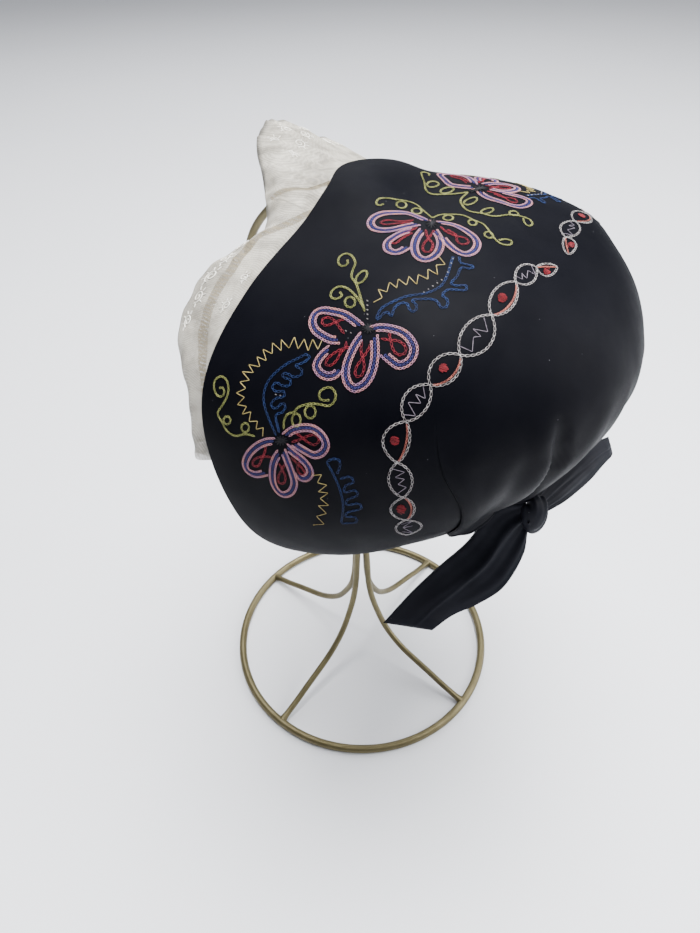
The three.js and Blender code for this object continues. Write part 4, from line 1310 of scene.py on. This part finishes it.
def bow_loop(rows, folds):
    """A ribbon that runs out between its two edge lines, turns over at the end and comes back."""
    stations = dict(rows, step=np.arange(len(rows["gap"]), dtype=float))
    u = np.linspace(0, 1, LOOP_STEPS + 1)
    out = 1 - np.abs(1 - 2 * u)
    edges = []
    for side in ("a", "b"):
        line = station_curve(np.column_stack([rows[side + axis] for axis in "xyz"]))
        at = out * (len(line) - 1)
        ahead = np.gradient(line, axis=0)
        edges.append([np.column_stack([np.interp(at, np.arange(len(line)), values[:, k]) for k in range(3)])
                      for values in (line, ahead)])
    (top, top_ahead), (foot, foot_ahead) = edges
    ahead = unit(unit(top_ahead) + unit(foot_ahead))
    face = unit(np.cross(ahead, foot - top))
    near_end = np.sqrt(np.clip((1 - out) / BOW_TURN, 0, 1))
    layer = np.where(u < 0.5, 1, -1) * near_end
    gap = along(stations, "step", "gap", out * stations["step"][-1])
    v = np.linspace(0, 1, LOOP_ROWS + 1)[:, None]
    fade = (1 - smooth(out * FOLDS_LAST - FOLDS_START)) * np.sin(math.pi * v) ** 0.5
    puff = LOOP_LEAST + (1 - LOOP_LEAST) * smooth(v / LOOP_OPENS)
    waves = sum(high * np.sin(v * often + shift + slant * out)
                for high, often, shift, slant in zip(*FOLD_WAVES.values()))
    ridge = (RIDGE_HIGH * hump(v, RIDGE_AT + RIDGE_SLANT * out, RIDGE_WIDE)
             * smooth(out * RIDGE_STARTS) * near_end)
    shells = []
    for thick in (BOW_CLOTH, 0.0):
        half = (gap * puff + thick) * layer + folds * (waves * fade + ridge)
        tip = thick * np.sqrt(np.clip(1 - near_end**2, 0, 1))
        shells.append(top + (foot - top) * v[..., None] + face * half[..., None] + ahead * tip[:, None])
    outer, inner = shells
    points = np.concatenate([outer, inner[::-1]]).reshape(-1, 3)
    n = LOOP_STEPS + 1
    far_row = (2 * LOOP_ROWS + 1) * n
    faces = grid_faces(LOOP_STEPS, 2 * LOOP_ROWS + 1)
    closing = np.stack([np.arange(LOOP_STEPS) + far_row, np.arange(1, n) + far_row, np.arange(1, n),
                        np.arange(LOOP_STEPS)], -1)
    ends = []
    for column in (0, LOOP_STEPS):
        for j in range(LOOP_ROWS):
            p, q = j * n + column, (j + 1) * n + column
            r, t = (2 * LOOP_ROWS - j) * n + column, (2 * LOOP_ROWS + 1 - j) * n + column
            ends.append((p, q, r, t) if column else (p, t, r, q))
    return points, np.vstack([faces, closing, np.array(ends)])


RIBBON = shader("black_ribbon", black_cloth((0.0060, 0.0066, 0.0100), (0.0125, 0.0134, 0.0185), 0.06))
knot = make_piece("bow_wrap", *bow_knot(), RIBBON, "black_satin")
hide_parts("bow_knot")
for name, rows, folds, flat in (("bow_loop_left", LOOP_LEFT, 0.7, (0.14, 0.021)),
                                ("bow_loop_right", LOOP_RIGHT, 0.3, (0.125, 0.0105))):
    ribbon = make_piece(name.replace("bow_loop", "bow_ribbon"), *bow_loop(rows, folds), RIBBON, "black_satin")
    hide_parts(name)


# The studio: a plain pale floor and soft light from above and from the far side.
FLOOR_HALF = 6


def pale_floor(tree, surface):
    where = place(tree, "ShaderNodeTexCoord").outputs["Object"]
    colour = in_patches(tree, where, scale=3.0, dark=(0.84, 0.855, 0.90), light=(0.86, 0.875, 0.92))
    feed(tree, surface, Base_Color=colour, Roughness=0.55)


corners = [(-FLOOR_HALF, -FLOOR_HALF, 0), (FLOOR_HALF, -FLOOR_HALF, 0), (FLOOR_HALF, FLOOR_HALF, 0),
           (-FLOOR_HALF, FLOOR_HALF, 0)]
floor_mesh = bpy.data.meshes.new("floor")
floor_mesh.from_pydata(corners, [], [(0, 1, 2, 3)])
floor_mesh.materials.append(shader("pale_floor", pale_floor))
floor = bpy.data.objects.new("floor", floor_mesh)
bpy.context.scene.collection.objects.link(floor)


def soft_light(name, place_at, aim_at, size, power, colour=(1, 1, 1)):
    data = bpy.data.lights.new(name, "AREA")
    data.shape = "RECTANGLE"
    data.size, data.size_y = size
    data.energy = power
    data.color = colour
    light = bpy.data.objects.new(name, data)
    light.location = place_at
    light.rotation_euler = (Vector(aim_at) - Vector(place_at)).to_track_quat("-Z", "Y").to_euler()
    bpy.context.scene.collection.objects.link(light)


soft_light("far_softbox", (-1.0, -0.9, 1.3), (0, 0, 0.2), (1.6, 1.2), 17, (0.97, 0.98, 1.0))
soft_light("nape_softbox", (-0.8, 1.3, 0.9), (0, 0, 0.15), (1.4, 1.2), 36)
soft_light("top_softbox", (-0.15, 0.05, 1.35), (0, 0, 0.1), (0.75, 0.75), 54)
world = bpy.data.worlds.new("studio")
world.use_nodes = True
world.node_tree.nodes["Background"].inputs["Color"].default_value = (0.93, 0.95, 1.0, 1)
world.node_tree.nodes["Background"].inputs["Strength"].default_value = 0.36
bpy.context.scene.world = world
